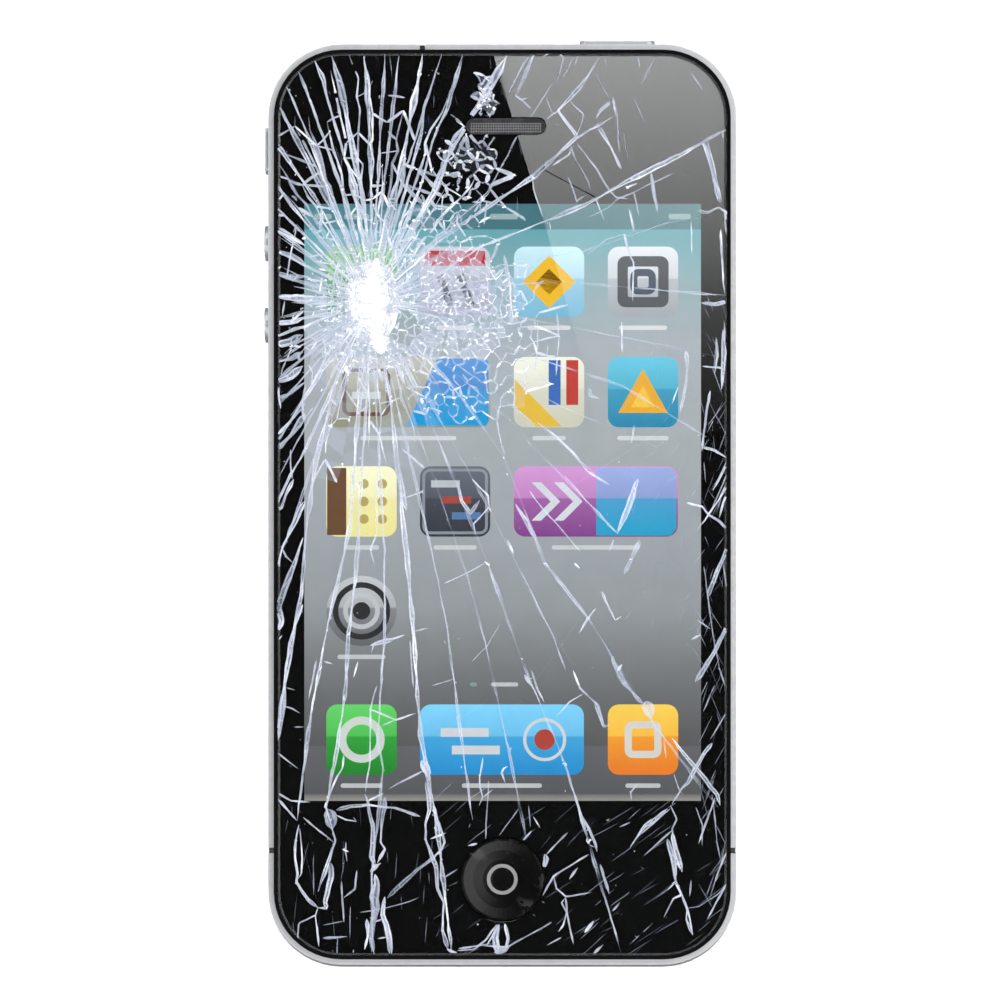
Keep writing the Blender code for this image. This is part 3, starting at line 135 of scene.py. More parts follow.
def addTube(builder, points, radius, sides=6, slot=0):  # a wire along points, in metres
    points = [Vector(p) for p in points]
    rings = []
    for i, point in enumerate(points):
        ahead = (points[min(i + 1, len(points) - 1)] - points[max(i - 1, 0)]).normalized()
        across = ahead.cross(Vector((0, 0, 1)))
        if across.length < 0.01:
            across = ahead.cross(Vector((0, 1, 0)))
        across.normalize()
        upward = across.cross(ahead)
        ring = []
        for k in range(sides):
            angle = 2 * math.pi * k / sides
            out = across * math.cos(angle) + upward * math.sin(angle)
            ring.append(builder.verts.new(point + out * radius))
        rings.append(ring)
    for near, far in zip(rings, rings[1:]):
        for k in range(sides):
            face = builder.faces.new((near[k], near[(k + 1) % sides], far[(k + 1) % sides], far[k]))
            face.material_index = slot
            face.smooth = True
    for ring, order in ((rings[0], -1), (rings[-1], 1)):
        builder.faces.new(ring[::order]).material_index = slot


# Shader node groups
def startGroup(name, inputs, outputs):
    group = bpy.data.node_groups.new(name, "ShaderNodeTree")
    for label, kind, value in inputs:
        socket = group.interface.new_socket(name=label, in_out="INPUT", socket_type=kind)
        if value is not None:
            socket.default_value = value
    for label, kind in outputs:
        group.interface.new_socket(name=label, in_out="OUTPUT", socket_type=kind)
    entry = group.nodes.new("NodeGroupInput")
    leave = group.nodes.new("NodeGroupOutput")
    return group, entry, leave


def setInputs(tree, node, inputs):  # each input takes a link or a value
    for key, value in inputs.items():
        if isinstance(value, bpy.types.NodeSocket):
            tree.links.new(value, node.inputs[key])
        else:
            node.inputs[key].default_value = value


def addNode(tree, kind, inputs=None, **settings):
    node = tree.nodes.new(kind)
    for key, value in settings.items():
        setattr(node, key, value)
    setInputs(tree, node, inputs or {})
    return node


def doMath(tree, operation, a, b=None, clamp=False):
    inputs = {0: a} if b is None else {0: a, 1: b}
    return addNode(tree, "ShaderNodeMath", inputs, operation=operation, use_clamp=clamp).outputs[0]


def remap(tree, value, low, high, start=0.0, end=1.0, curve="LINEAR"):
    inputs = {"Value": value, "From Min": start, "From Max": end, "To Min": low, "To Max": high}
    return addNode(tree, "ShaderNodeMapRange", inputs, interpolation_type=curve).outputs[0]


def mixColors(tree, share, first, second):
    inputs = {"Factor": share, "A": first, "B": second}
    return addNode(tree, "ShaderNodeMix", inputs, data_type="RGBA").outputs["Result"]


def fillRamp(ramp, stops):  # stops: position from 0 to 1, and colour
    elements = ramp.color_ramp.elements
    first, last = elements
    first.position, first.color = stops[0]
    last.position, last.color = stops[-1]
    for position, shade in stops[1:-1]:
        elements.new(position).color = shade


def startMaterial(name):
    made = bpy.data.materials.new(name)
    made.use_nodes = True
    return made, made.node_tree, made.node_tree.nodes["Principled BSDF"]


def makeGrainGroup():  # fine uneven tone, drawn out along one direction by Stretch
    group, entry, leave = startGroup(
        "surfaceGrain",
        [("Scale", "NodeSocketFloat", 800.0), ("Stretch", "NodeSocketVector", (1, 1, 1)),
         ("Contrast", "NodeSocketFloat", 1.0)],
        [("Tone", "NodeSocketFloat")],
    )
    place = addNode(group, "ShaderNodeTexCoord").outputs["Object"]
    drawn = addNode(group, "ShaderNodeVectorMath", {0: place, 1: entry.outputs["Stretch"]},
                    operation="MULTIPLY")
    noise = addNode(group, "ShaderNodeTexNoise", {"Vector": drawn.outputs[0], "Scale": entry.outputs["Scale"],
                                                  "Detail": 5.0, "Roughness": 0.6})
    centred = doMath(group, "SUBTRACT", noise.outputs["Fac"], 0.5)
    strong = doMath(group, "MULTIPLY", centred, entry.outputs["Contrast"])
    group.links.new(doMath(group, "ADD", strong, 0.5, clamp=True), leave.inputs["Tone"])
    return group


def makeScratchGroup():  # thin straight marks: the cell edges of a stretched and turned pattern
    group, entry, leave = startGroup(
        "fineScratches",
        [("Scale", "NodeSocketFloat", 220.0), ("Width", "NodeSocketFloat", 0.02),
         ("Turn", "NodeSocketFloat", 0.6), ("Share", "NodeSocketFloat", 0.4)],
        [("Marks", "NodeSocketFloat")],
    )
    place = addNode(group, "ShaderNodeTexCoord").outputs["Object"]
    turned = addNode(group, "ShaderNodeVectorRotate", {"Vector": place, "Angle": entry.outputs["Turn"]},
                     rotation_type="Z_AXIS")
    drawn = addNode(group, "ShaderNodeVectorMath", {0: turned.outputs[0], 1: (1.0, 0.06, 1.0)},
                    operation="MULTIPLY")
    cells = addNode(group, "ShaderNodeTexVoronoi",
                    {"Vector": drawn.outputs[0], "Scale": entry.outputs["Scale"]}, feature="DISTANCE_TO_EDGE")
    thin = doMath(group, "LESS_THAN", cells.outputs["Distance"], entry.outputs["Width"])
    patches = addNode(group, "ShaderNodeTexNoise", {"Vector": place, "Scale": 160.0})
    kept = doMath(group, "GREATER_THAN", patches.outputs["Fac"], entry.outputs["Share"])
    group.links.new(doMath(group, "MULTIPLY", thin, kept), leave.inputs["Marks"])
    return group


def makeDustGroup():  # small scattered specks
    group, entry, leave = startGroup(
        "dustSpecks",
        [("Scale", "NodeSocketFloat", 1500.0), ("Size", "NodeSocketFloat", 0.16),
         ("Share", "NodeSocketFloat", 0.6)],
        [("Specks", "NodeSocketFloat")],
    )
    place = addNode(group, "ShaderNodeTexCoord").outputs["Object"]
    cells = addNode(group, "ShaderNodeTexVoronoi", {"Vector": place, "Scale": entry.outputs["Scale"]},
                    feature="F1")
    dots = doMath(group, "LESS_THAN", cells.outputs["Distance"], entry.outputs["Size"])
    split = addNode(group, "ShaderNodeSeparateColor", {"Color": cells.outputs["Color"]})
    kept = doMath(group, "GREATER_THAN", split.outputs[0], entry.outputs["Share"])
    group.links.new(doMath(group, "MULTIPLY", dots, kept), leave.inputs["Specks"])
    return group


def makeWearGroup():  # rubbed edges: where the surface bends outwards
    group, entry, leave = startGroup(
        "edgeWear",
        [("Start", "NodeSocketFloat", 0.52), ("Breakup", "NodeSocketFloat", 0.5)],
        [("Worn", "NodeSocketFloat")],
    )
    bend = addNode(group, "ShaderNodeNewGeometry").outputs["Pointiness"]
    place = addNode(group, "ShaderNodeTexCoord").outputs["Object"]
    noise = addNode(group, "ShaderNodeTexNoise", {"Vector": place, "Scale": 900.0, "Detail": 4.0})
    edge = remap(group, bend, 0.0, 1.0, entry.outputs["Start"], 0.62)
    broken = doMath(group, "GREATER_THAN", noise.outputs["Fac"], entry.outputs["Breakup"])
    group.links.new(doMath(group, "MULTIPLY", edge, broken, clamp=True), leave.inputs["Worn"])
    return group


grainGroup = makeGrainGroup()
scratchGroup = makeScratchGroup()
dustGroup = makeDustGroup()
wearGroup = makeWearGroup()


def grainTone(tree, scale, contrast, pull=(1, 1, 1)):
    inputs = {"Scale": scale, "Stretch": pull, "Contrast": contrast}
    return addNode(tree, "ShaderNodeGroup", inputs, node_tree=grainGroup).outputs["Tone"]


# What a finish has unless it says otherwise: metal, the pull on its grain, how much of each mark, and shine.
plainFinish = dict(metal=0.0, pull=(1, 1, 1), scratch=0.0, dust=0.0, wear=0.0, shine=0.5)
finishes = {  # color, its second tone, roughness and grain size
    "bandSteel": dict(color=(0.86, 0.87, 0.89), second=(0.76, 0.77, 0.79), rough=0.55, metal=1.0, grain=700,
                      pull=(1, 1, 14), scratch=0.1, wear=0.25),
    "buttonSteel": dict(color=(0.68, 0.69, 0.71), second=(0.58, 0.59, 0.61), rough=0.38, metal=1.0,
                        grain=900, pull=(1, 1, 6), scratch=0.08, wear=0.3),
    "blackPlastic": dict(color=(0.01, 0.01, 0.011), second=(0.016, 0.016, 0.018), rough=0.45, grain=1400,
                         scratch=0.1, dust=0.03, wear=0.1),
    "underGlassBlack": dict(color=(0.0025, 0.0025, 0.003), second=(0.0045, 0.0045, 0.005), rough=0.6,
                            grain=500, shine=0.05),
    "backBlack": dict(color=(0.008, 0.008, 0.009), second=(0.014, 0.014, 0.015), rough=0.1, grain=120,
                      scratch=0.3, dust=0.18, wear=0.15),
    "buttonGloss": dict(color=(0.001, 0.001, 0.0011), second=(0.002, 0.002, 0.002), rough=0.16, grain=600,
                        scratch=0.02, dust=0.02, wear=0.1),
    "meshMetal": dict(color=(0.22, 0.22, 0.23), second=(0.34, 0.34, 0.35), rough=0.4, metal=0.8, grain=2500,
                      dust=0.05, wear=0.2),
    "lensBlack": dict(color=(0.01, 0.012, 0.02), second=(0.02, 0.02, 0.05), rough=0.05, grain=900,
                      scratch=0.04, dust=0.03),
    "flashLens": dict(color=(0.82, 0.78, 0.48), second=(0.9, 0.88, 0.66), rough=0.18, grain=1600, dust=0.05),
    "batteryWrap": dict(color=(0.025, 0.025, 0.028), second=(0.045, 0.045, 0.05), rough=0.5, grain=300,
                        pull=(6, 1, 1), scratch=0.15, dust=0.05),
    "boardGreen": dict(color=(0.012, 0.075, 0.045), second=(0.03, 0.14, 0.08), rough=0.5, grain=900,
                       pull=(1, 5, 1), scratch=0.2, dust=0.05),
    "innerTin": dict(color=(0.6, 0.61, 0.62), second=(0.48, 0.49, 0.5), rough=0.4, metal=1.0, grain=800,
                     pull=(8, 1, 1), scratch=0.15, dust=0.05, wear=0.2),
    "cardPlastic": dict(color=(0.8, 0.8, 0.78), second=(0.72, 0.72, 0.7), rough=0.5, grain=700, scratch=0.1,
                        dust=0.05),
    "ringGrey": dict(color=(0.22, 0.22, 0.22), second=(0.28, 0.28, 0.28), rough=0.4, grain=1800,
                     scratch=0.1),
    "markGrey": dict(color=(0.12, 0.12, 0.125), second=(0.18, 0.18, 0.19), rough=0.5, metal=0.4, grain=1800),
}


def makeFinish(name):
    plan = {**plainFinish, **finishes[name]}
    made, tree, shader = startMaterial(name)
    grain = grainTone(tree, plan["grain"], 1.6, plan["pull"])
    color = mixColors(tree, grain, (*plan["color"], 1), (*plan["second"], 1))
    roughness = remap(tree, grain, plan["rough"] * 0.85, plan["rough"] * 1.2)
    height = grain
    if plan["dust"]:
        specks = addNode(tree, "ShaderNodeGroup", {"Share": 0.75}, node_tree=dustGroup).outputs["Specks"]
        color = mixColors(tree, doMath(tree, "MULTIPLY", specks, plan["dust"]), color, (0.55, 0.54, 0.52, 1))
    if plan["wear"]:
        worn = addNode(tree, "ShaderNodeGroup", node_tree=wearGroup).outputs["Worn"]
        bared = (*[min(1, 0.25 + value) for value in plan["color"]], 1)
        color = mixColors(tree, doMath(tree, "MULTIPLY", worn, plan["wear"]), color, bared)
    if plan["scratch"]:
        marks = addNode(tree, "ShaderNodeGroup", node_tree=scratchGroup).outputs["Marks"]
        amount = doMath(tree, "MULTIPLY", marks, plan["scratch"])
        roughness = doMath(tree, "ADD", roughness, amount, clamp=True)
        height = doMath(tree, "SUBTRACT", height, amount)
    bump = addNode(tree, "ShaderNodeBump", {"Height": height, "Strength": 0.08, "Distance": 0.00002})
    setInputs(tree, shader, {"Base Color": color, "Roughness": roughness, "Normal": bump.outputs["Normal"],
                             "Metallic": plan["metal"], "Specular IOR Level": plan["shine"]})
    return made


looks = {name: makeFinish(name) for name in finishes}

clearGlass = {"color": (0.97, 0.985, 0.99), "second": (0.94, 0.97, 0.975), "rough": 0.0, "smear": 0.05,
              "ior": 1.5}


def makeClearGlass():
    made, tree, shader = startMaterial("clearGlass")
    grain = grainTone(tree, 90, 2.0)
    color = mixColors(tree, grain, (*clearGlass["color"], 1), (*clearGlass["second"], 1))
    rough = remap(tree, grain, clearGlass["rough"], clearGlass["smear"], 0.55)
    setInputs(tree, shader, {"Base Color": color, "Roughness": rough, "Transmission Weight": 1.0,
                             "IOR": clearGlass["ior"]})
    return made


# Broken glass by how much it covers: position and colour.
crackLook = {"rough": 0.6, "tones": [(0.2, (0.36, 0.41, 0.53, 1)), (0.8, (0.72, 0.76, 0.87, 1)),
                                     (1.0, (0.95, 0.96, 0.98, 1))]}


def makeCrackLook(name, solid):  # bluish and clear where thin, white where it is powdered
    made, tree, shader = startMaterial(name)
    grain = grainTone(tree, 1500, 2.4)
    ramp = addNode(tree, "ShaderNodeValToRGB", {"Fac": 1.0})
    fillRamp(ramp, crackLook["tones"])
    if not solid:
        cover = addNode(tree, "ShaderNodeAttribute", attribute_name="strandCover").outputs["Fac"]
        setInputs(tree, ramp, {"Fac": cover})
        alpha = doMath(tree, "MULTIPLY", cover, remap(tree, grain, 1.2, 0.75), clamp=True)
        setInputs(tree, shader, {"Alpha": alpha})
    dim = remap(tree, grain, 1.03, 0.9)
    tone = addNode(tree, "ShaderNodeVectorMath", {0: ramp.outputs["Color"], "Scale": dim}, operation="SCALE")
    bump = addNode(tree, "ShaderNodeBump", {"Height": grain, "Strength": 0.25, "Distance": 0.00004})
    setInputs(tree, shader, {"Base Color": tone.outputs[0], "Normal": bump.outputs["Normal"],
                             "Roughness": crackLook["rough"]})
    return made


looks["clearGlass"] = makeClearGlass()
looks["crackWhite"] = makeCrackLook("crackWhite", False)
looks["crushedWhite"] = makeCrackLook("crushedWhite", True)
print("finishes made:", len(looks))


# Finishes of the frame's own nodes
nodeFinishes = {
    "bandSteel": ["band_left", "band_right", "band_bottom", "sim_tray"],
    "buttonSteel": ["power_button", "volume_up_button", "volume_down_button", "ring_switch", "camera_ring",
                    "bottom_screw_left", "bottom_screw_right"],
    "blackPlastic": ["slit_top", "slit_left", "slit_right", "back_frame", "headphone_jack", "dock_connector",
                     "loudspeaker", "microphone", "earpiece_speaker", "rear_camera", "home_switch"],
    "underGlassBlack": ["front_frame", "lcd_panel"],
    "backBlack": ["back_glass"],
    "buttonGloss": ["home_button"],
    "meshMetal": ["earpiece_mesh"],
    "lensBlack": ["camera_window", "front_camera"],
    "flashLens": ["flash_led"],
    "batteryWrap": ["battery"],
    "boardGreen": ["logic_board"],
    "innerTin": ["upper_shield", "lower_shield", "mid_plate", "lcd_tray", "vibration_motor"],
    "cardPlastic": ["sim_card"],
    "clearGlass": [name for name in nodes if name.startswith("glass_shard")],
    "crushedWhite": ["glass_core"],
}

for finishName, nodeNames in nodeFinishes.items():
    for nodeName in nodeNames:
        data = nodes[nodeName].data
        data.materials.clear()
        data.materials.append(looks[finishName])
bare = set(nodes) - {name for names in nodeFinishes.values() for name in names}
print("frame nodes dressed:", len(nodes) - len(bare), "left:", sorted(bare))


# The lit screen
screen = {
    "x": (-24.75, 24.85), "y": (-37.05, 37.60),
    "surround": (-26.2, -39.0, 26.2, 39.5),
    "glow": 1.08,            # makes up for what the cover glass takes
    "statusHeight": 3.2, "shelf": (-37.05, -30.2),
    # from and to, above screenLow
    "edgePlate": (0.005, 0.015), "groundPlate": (0.004, 0.014), "barPlate": (0.020, 0.026),
    "tilePlate": (0.034, 0.046), "labelPlate": (0.034, 0.042), "markPlate": (0.060, 0.068),
    "ground": [(-37.05, (60, 59, 58)), (-33.0, (72, 70, 70)), (-24.0, (104, 106, 108)),
               (-18.0, (128, 131, 134)), (-13.0, (148, 152, 156)), (-4.0, (160, 165, 170)),
               (8.0, (168, 174, 178)), (20.0, (168, 176, 182)), (27.0, (146, 172, 178)),
               (34.4, (98, 166, 176)), (37.60, (80, 150, 160))],
    "status": [(-24.75, (72, 132, 142)), (0.0, (62, 112, 124)), (8.0, (56, 112, 120)),
               (24.85, (78, 124, 130))],
    "shelfTones": [(-37.05, (150, 147, 142)), (-36.35, (116, 114, 112)), (-36.15, (82, 83, 87)),
                   (-30.2, (96, 97, 100))],
}


def plateHeights(kind):
    return [screenLow + level for level in screen[kind]]


def makeGlow(name, low, high, stops, drift=0.06, across=False):  # stops: place in mm and display colour
    made, tree, shader = startMaterial(name)
    place = addNode(tree, "ShaderNodeTexCoord").outputs["Object"]
    split = addNode(tree, "ShaderNodeSeparateXYZ", {"Vector": place})
    share = remap(tree, split.outputs["X" if across else "Y"], 0.0, 1.0, low * mm, high * mm)
    ramp = addNode(tree, "ShaderNodeValToRGB", {"Fac": share})
    ramp.color_ramp.interpolation = "EASE" if len(stops) < 3 else "LINEAR"
    fillRamp(ramp, [((spot - low) / (high - low), tint(*shade)) for spot, shade in stops])
    dim = remap(tree, grainTone(tree, 260, 1.5), 1 - drift, 1 + drift)
    glow = addNode(tree, "ShaderNodeVectorMath", {0: ramp.outputs["Color"], "Scale": dim}, operation="SCALE")
    setInputs(tree, shader, {"Emission Color": glow.outputs[0], "Emission Strength": screen["glow"],
                             "Base Color": (0.01, 0.01, 0.01, 1), "Roughness": 0.5})
    return made


def makePlainGlow(name, color):  # a lit colour that is a little darker lower down on the screen
    low, high = screen["y"]
    darker = tuple(int(value * 0.86) for value in color)
    return makeGlow(name, low, high, [(low, darker), (high, color)], 0.08)


def addLitPlate(name, corners, kind, glow):
    builder = bmesh.new()
    addPrism(builder, rectangle(*corners), *plateHeights(kind))
    return addPiece(name, meshFromBuilder(name, builder), glow)


def makeScreenGround():
    x0, x1 = screen["x"]
    y0, y1 = screen["y"]
    low, high = screen["shelf"]
    ground = addLitPlate("screenGround", (x0, y0, x1, y1), "groundPlate",
                         makeGlow("screenGroundGlow", y0, y1, screen["ground"]))
    addLitPlate("statusBar", (x0, y1 - screen["statusHeight"], x1, y1), "barPlate",
                makeGlow("statusGlow", x0, x1, screen["status"], 0.05, across=True))
    addLitPlate("screenShelf", (x0, low, x1, high), "barPlate",
                makeGlow("shelfGlow", low, high, screen["shelfTones"], 0.05))
    return ground


def makeScreenSurround():  # the unlit edge of the panel, up to the frame
    (x0, x1), (y0, y1) = screen["x"], screen["y"]
    builder = bmesh.new()
    addRing(builder, rectangle(*screen["surround"]), rectangle(x0, y0, x1, y1), *plateHeights("edgePlate"))
    return addPiece("screenSurround", meshFromBuilder("screenSurround", builder), looks["underGlassBlack"])


tilePlan = {"side": 8.8, "corner": 1.4}
columns = (-17.6, -5.9, 5.85, 17.6)
lines = (27.85, 14.05, 0.38, -13.3, -29.4)


def makeGloss(name, cy, bottom, top):  # a tile's shine: its upper half is lighter
    half = tilePlan["side"] / 2
    middle = tuple((a + b) // 2 for a, b in zip(bottom, top))
    gloss = tuple(min(255, value + 22) for value in top)
    return makeGlow(name, cy - half, cy + half,
                    [(cy - half, bottom), (cy + 0.3, middle), (cy + 0.5, top), (cy + half, gloss)])


def addMark(builder, cx, cy, slot, kind, *values):
    low, high = plateHeights("markPlate")
    if kind == "disc":
        x, y, radius = values
        addPrism(builder, arcPoints(cx + x, cy + y, radius, 0, 345, 24), low, high, slot)
    elif kind == "ring":
        x, y, outer, inner = values
        addRing(builder, arcPoints(cx + x, cy + y, outer, 0, 348.75, 32),
                arcPoints(cx + x, cy + y, inner, 0, 348.75, 32), low, high, slot)
    elif kind == "bar":
        x, y, w, h, turn = values
        c, s = math.cos(math.radians(turn)), math.sin(math.radians(turn))
        corners = [(cx + x + a * c - b * s, cy + y + a * s + b * c)
                   for a, b in rectangle(-w / 2, -h / 2, w / 2, h / 2)]
        addPrism(builder, corners, low, high, slot)
    elif kind == "frame":
        x, y, w, h, edge = values
        inner = roundedOutline(cx + x, cy + y, w - 2 * edge, h - 2 * edge, max(0.2, 1.0 - edge))
        addRing(builder, roundedOutline(cx + x, cy + y, w, h, 1.0), inner, low, high, slot)
    elif kind == "plate":
        addPrism(builder, [(cx + x, cy + y) for x, y in values], low, high, slot)


def addTile(name, column, line, ground, marks, form="square"):
    side = tilePlan["side"]
    width = side + (columns[1] - columns[0]) if form == "wide" else side
    cx, cy = columns[column], lines[line]
    builder = bmesh.new()
    corner = side / 2 if form == "round" else tilePlan["corner"]
    addPrism(builder, roundedOutline(cx + (width - side) / 2, cy, width, side, corner, 8),
             *plateHeights("tilePlate"))
    glows = [makeGloss(name + "Ground", cy, *ground)]
    for index, (color, *shapes) in enumerate(marks, 1):
        twoTone = isinstance(color[0], tuple)
        mark = f"{name}Mark{index}"
        glows.append(makeGloss(mark, cy, *color) if twoTone else makePlainGlow(mark, color))
        for shape in shapes:
            addMark(builder, cx, cy, index, *shape)
    return addPiece(name, meshFromBuilder(name, builder), glows)


# Tiles: name, column, line, display colours of the ground at bottom and top, and marks. A mark is one
# colour, or one at the bottom and one at the top, and its shapes in mm from the tile's middle.
tileTable = [
    ("tileGreen", 0, 0, ((20, 130, 45), (104, 172, 80)), [
        ((235, 245, 235), ("bar", 0, 0, 5.0, 1.0, 45), ("bar", 0, 0, 5.0, 1.0, -45))]),
    ("tilePale", 1, 0, ((166, 166, 182), (186, 188, 200)), [
        ((190, 45, 45), ("plate", (-3.9, 2.0), (3.9, 2.0), (3.7, 3.9), (-3.7, 3.9))),
        ((60, 62, 70), ("bar", -1.3, -1.0, 0.9, 4.2, 20), ("bar", 1.3, -1.0, 0.9, 4.2, 20))]),
    ("tileSky", 2, 0, ((120, 185, 215), (186, 222, 238)), [
        ((245, 190, 30), ("plate", (0, 3.3), (3.3, 0), (0, -3.3), (-3.3, 0))),
        ((90, 55, 15), ("bar", 0, 0, 2.3, 2.3, 45))]),
    ("tileGrey", 3, 0, ((160, 165, 172), (210, 214, 220)), [
        ((60, 64, 72), ("frame", 0, 0, 6.4, 6.4, 1.3)),
        ((40, 60, 84), ("frame", 0, 0, 3.2, 3.2, 0.9))]),
    ("tileEarthBlue", 0, 1, ((148, 148, 126), (176, 174, 158)), [
        (((0, 156, 218), (64, 134, 204)),
         ("plate", (5.6, -4.2), (15.6, -4.2), (15.9, -3.6), (15.9, 3.8), (15.4, 4.2), (9.5, 4.2))),
        ((110, 78, 56), ("frame", 0.6, 0, 6.0, 6.0, 0.5)),
        ((214, 216, 214), ("bar", 0.6, -0.4, 3.6, 0.9, 0))], "wide"),
    ("tileCream", 2, 1, ((208, 206, 186), (230, 228, 208)), [
        ((240, 196, 60), ("plate", (-4.3, -1.8), (-1.6, -4.3), (1.6, -4.3), (-4.3, 1.6))),
        ((200, 60, 50), ("bar", 2.9, 1.2, 1.5, 5.6, 0)),
        ((60, 110, 190), ("bar", 0.7, 1.2, 1.5, 5.6, 0))]),
    ("tileAzure", 3, 1, ((24, 132, 172), (76, 180, 208)), [
        ((246, 178, 28), ("plate", (-3.1, -2.6), (3.1, -2.6), (0, 2.9))),
        ((255, 214, 90), ("plate", (-1.5, -1.9), (1.5, -1.9), (0, 0.8)))]),
    ("tileStraw", 0, 2, ((240, 230, 150), (248, 243, 190)), [
        ((112, 74, 42), ("bar", -3.1, 0, 2.4, 8.4, 0)),
        ((196, 178, 96), *[("disc", x, y, 0.6) for y in (2.2, 0, -2.2) for x in (0.3, 2.6)])]),
    ("tileSlate", 1, 2, ((40, 44, 54), (82, 88, 100)), [
        ((150, 156, 166), ("frame", 0, 0, 8.2, 8.2, 0.35)),
        ((200, 206, 214), ("bar", -1.2, 2.2, 3.6, 0.9, 0)),
        ((180, 70, 60), ("bar", 0.2, 0.2, 3.6, 0.9, 0)),
        ((90, 130, 180), ("bar", 1.4, -1.8, 3.6, 0.9, 0))]),
    ("tileViolet", 2, 2, ((128, 58, 136), (196, 134, 196)), [
        (((0, 160, 202), (140, 158, 212)),
         ("plate", (5.9, -4.25), (15.2, -4.25), (15.9, -3.4), (15.9, 3.4), (15.2, 4.25), (5.9, 4.25))),
        ((232, 236, 244),
         ("plate", (-2.2, -2.4), (-1.0, -2.4), (1.4, 0), (-1.0, 2.4), (-2.2, 2.4), (0.2, 0)),
         ("plate", (0.6, -2.4), (1.8, -2.4), (4.2, 0), (1.8, 2.4), (0.6, 2.4), (3.0, 0)))], "wide"),
    ("tileSilver", 0, 3, ((92, 94, 98), (176, 178, 182)), [
        ((36, 37, 40), ("ring", 0, 0, 3.6, 2.9)),
        ((215, 217, 220), ("ring", 0, 0, 2.3, 1.7)),
        ((30, 31, 34), ("disc", 0, 0, 1.1))], "round"),
    ("dockGreen", 0, 4, ((0, 128, 24), (76, 192, 80)), [
        ((238, 246, 238), ("ring", 0, 0, 2.9, 1.9))]),
    ("dockBlue", 1, 4, ((10, 138, 205), (106, 192, 236)), [
        ((242, 246, 250), ("bar", 1.2, 0.9, 6.0, 1.1, 0), ("bar", 2.6, -1.3, 6.0, 1.1, 0)),
        ((205, 70, 55), ("disc", 11.2, 0, 1.3)),
        ((242, 246, 250), ("ring", 11.2, 0, 2.7, 2.3))], "wide"),
    ("dockAmber", 3, 4, ((236, 120, 14), (252, 190, 60)), [
        ((250, 246, 236), ("frame", 0, 0, 4.6, 4.6, 0.9))]),
]

# Captions: column, line and length of the bar; then the bars of the page marks and the status line.
captions = [(0, 0, 5.0), (1, 0, 4.6), (2, 0, 5.4), (3, 0, 6.0), (0, 1, 12.0), (2, 1, 4.2), (3, 1, 6.4),
            (0, 2, 4.4), (1, 2, 5.4), (2, 2, 11.0), (0, 3, 6.0), (0, 4, 5.2), (1, 4, 10.0), (3, 4, 4.4)]
captionPlan = {"drop": 1.35, "height": 0.55, "corner": 0.25}
pageMarks = {"y": -22.5, "height": 0.5, "corner": 0.24, "lit": (0.3, 3.4), "dim": (-3.6, 0.9)}
statusMarks = {"y": 36.0, "height": 0.7, "corner": 0.3,
               "bars": [(-22.4, 2.2), (-18.2, 3.2), (0.2, 3.6), (22.2, 2.8)]}


def addBar(builder, x, y, width, plan, slot):
    outline = roundedOutline(x, y, width, plan["height"], plan["corner"], 4)
    addPrism(builder, outline, *plateHeights("labelPlate"), slot)


def makeLabels():  # short pale bars where captions would be, and a bar of page marks
    builder = bmesh.new()
    for column, line, width in captions:
        wide = width > tilePlan["side"]
        cx = columns[column] + ((columns[1] - columns[0]) / 2 if wide else 0)
        cy = lines[line] - tilePlan["side"] / 2 - captionPlan["drop"]
        addBar(builder, cx, cy, width, captionPlan, 0)
    for slot, kind in enumerate(("lit", "dim")):
        x, width = pageMarks[kind]
        addBar(builder, x, pageMarks["y"], width, pageMarks, slot)
    for x, width in statusMarks["bars"]:
        addBar(builder, x, statusMarks["y"], width, statusMarks, 1)
    glows = [makePlainGlow("labelGlow", (222, 224, 226)), makePlainGlow("dimMarkGlow", (150, 176, 178))]
    return addPiece("screenLabels", meshFromBuilder("screenLabels", builder), glows)


makeScreenGround()
makeScreenSurround()
for row in tileTable:
    addTile(*row)
makeLabels()
print("screen made:", len(tileTable), "tiles")


# The break in the cover glass
breakPlan = {
    "impact": (-16.30, 25.34),   # mm from the middle of the phone
    "seed": 5,
    "glassHalf": (28.02, 56.32), "glassCorner": 7.9,
    "home": (0.0, -46.85, 5.42), "slot": (0.45, 47.3, 3.95, 1.16),
    "step": 0.32,
    "strandLift": 0.003, "chipLift": 0.004,   # off the glass
    "litEdge": (-24.9, 37.6),                 # cells right of this x and below this y lie over the lit screen
    "dim": (285, 20),                         # from this bearing round to this one long cracks are fainter
}
dice = np.random.default_rng(breakPlan["seed"])
impact = np.array(breakPlan["impact"])

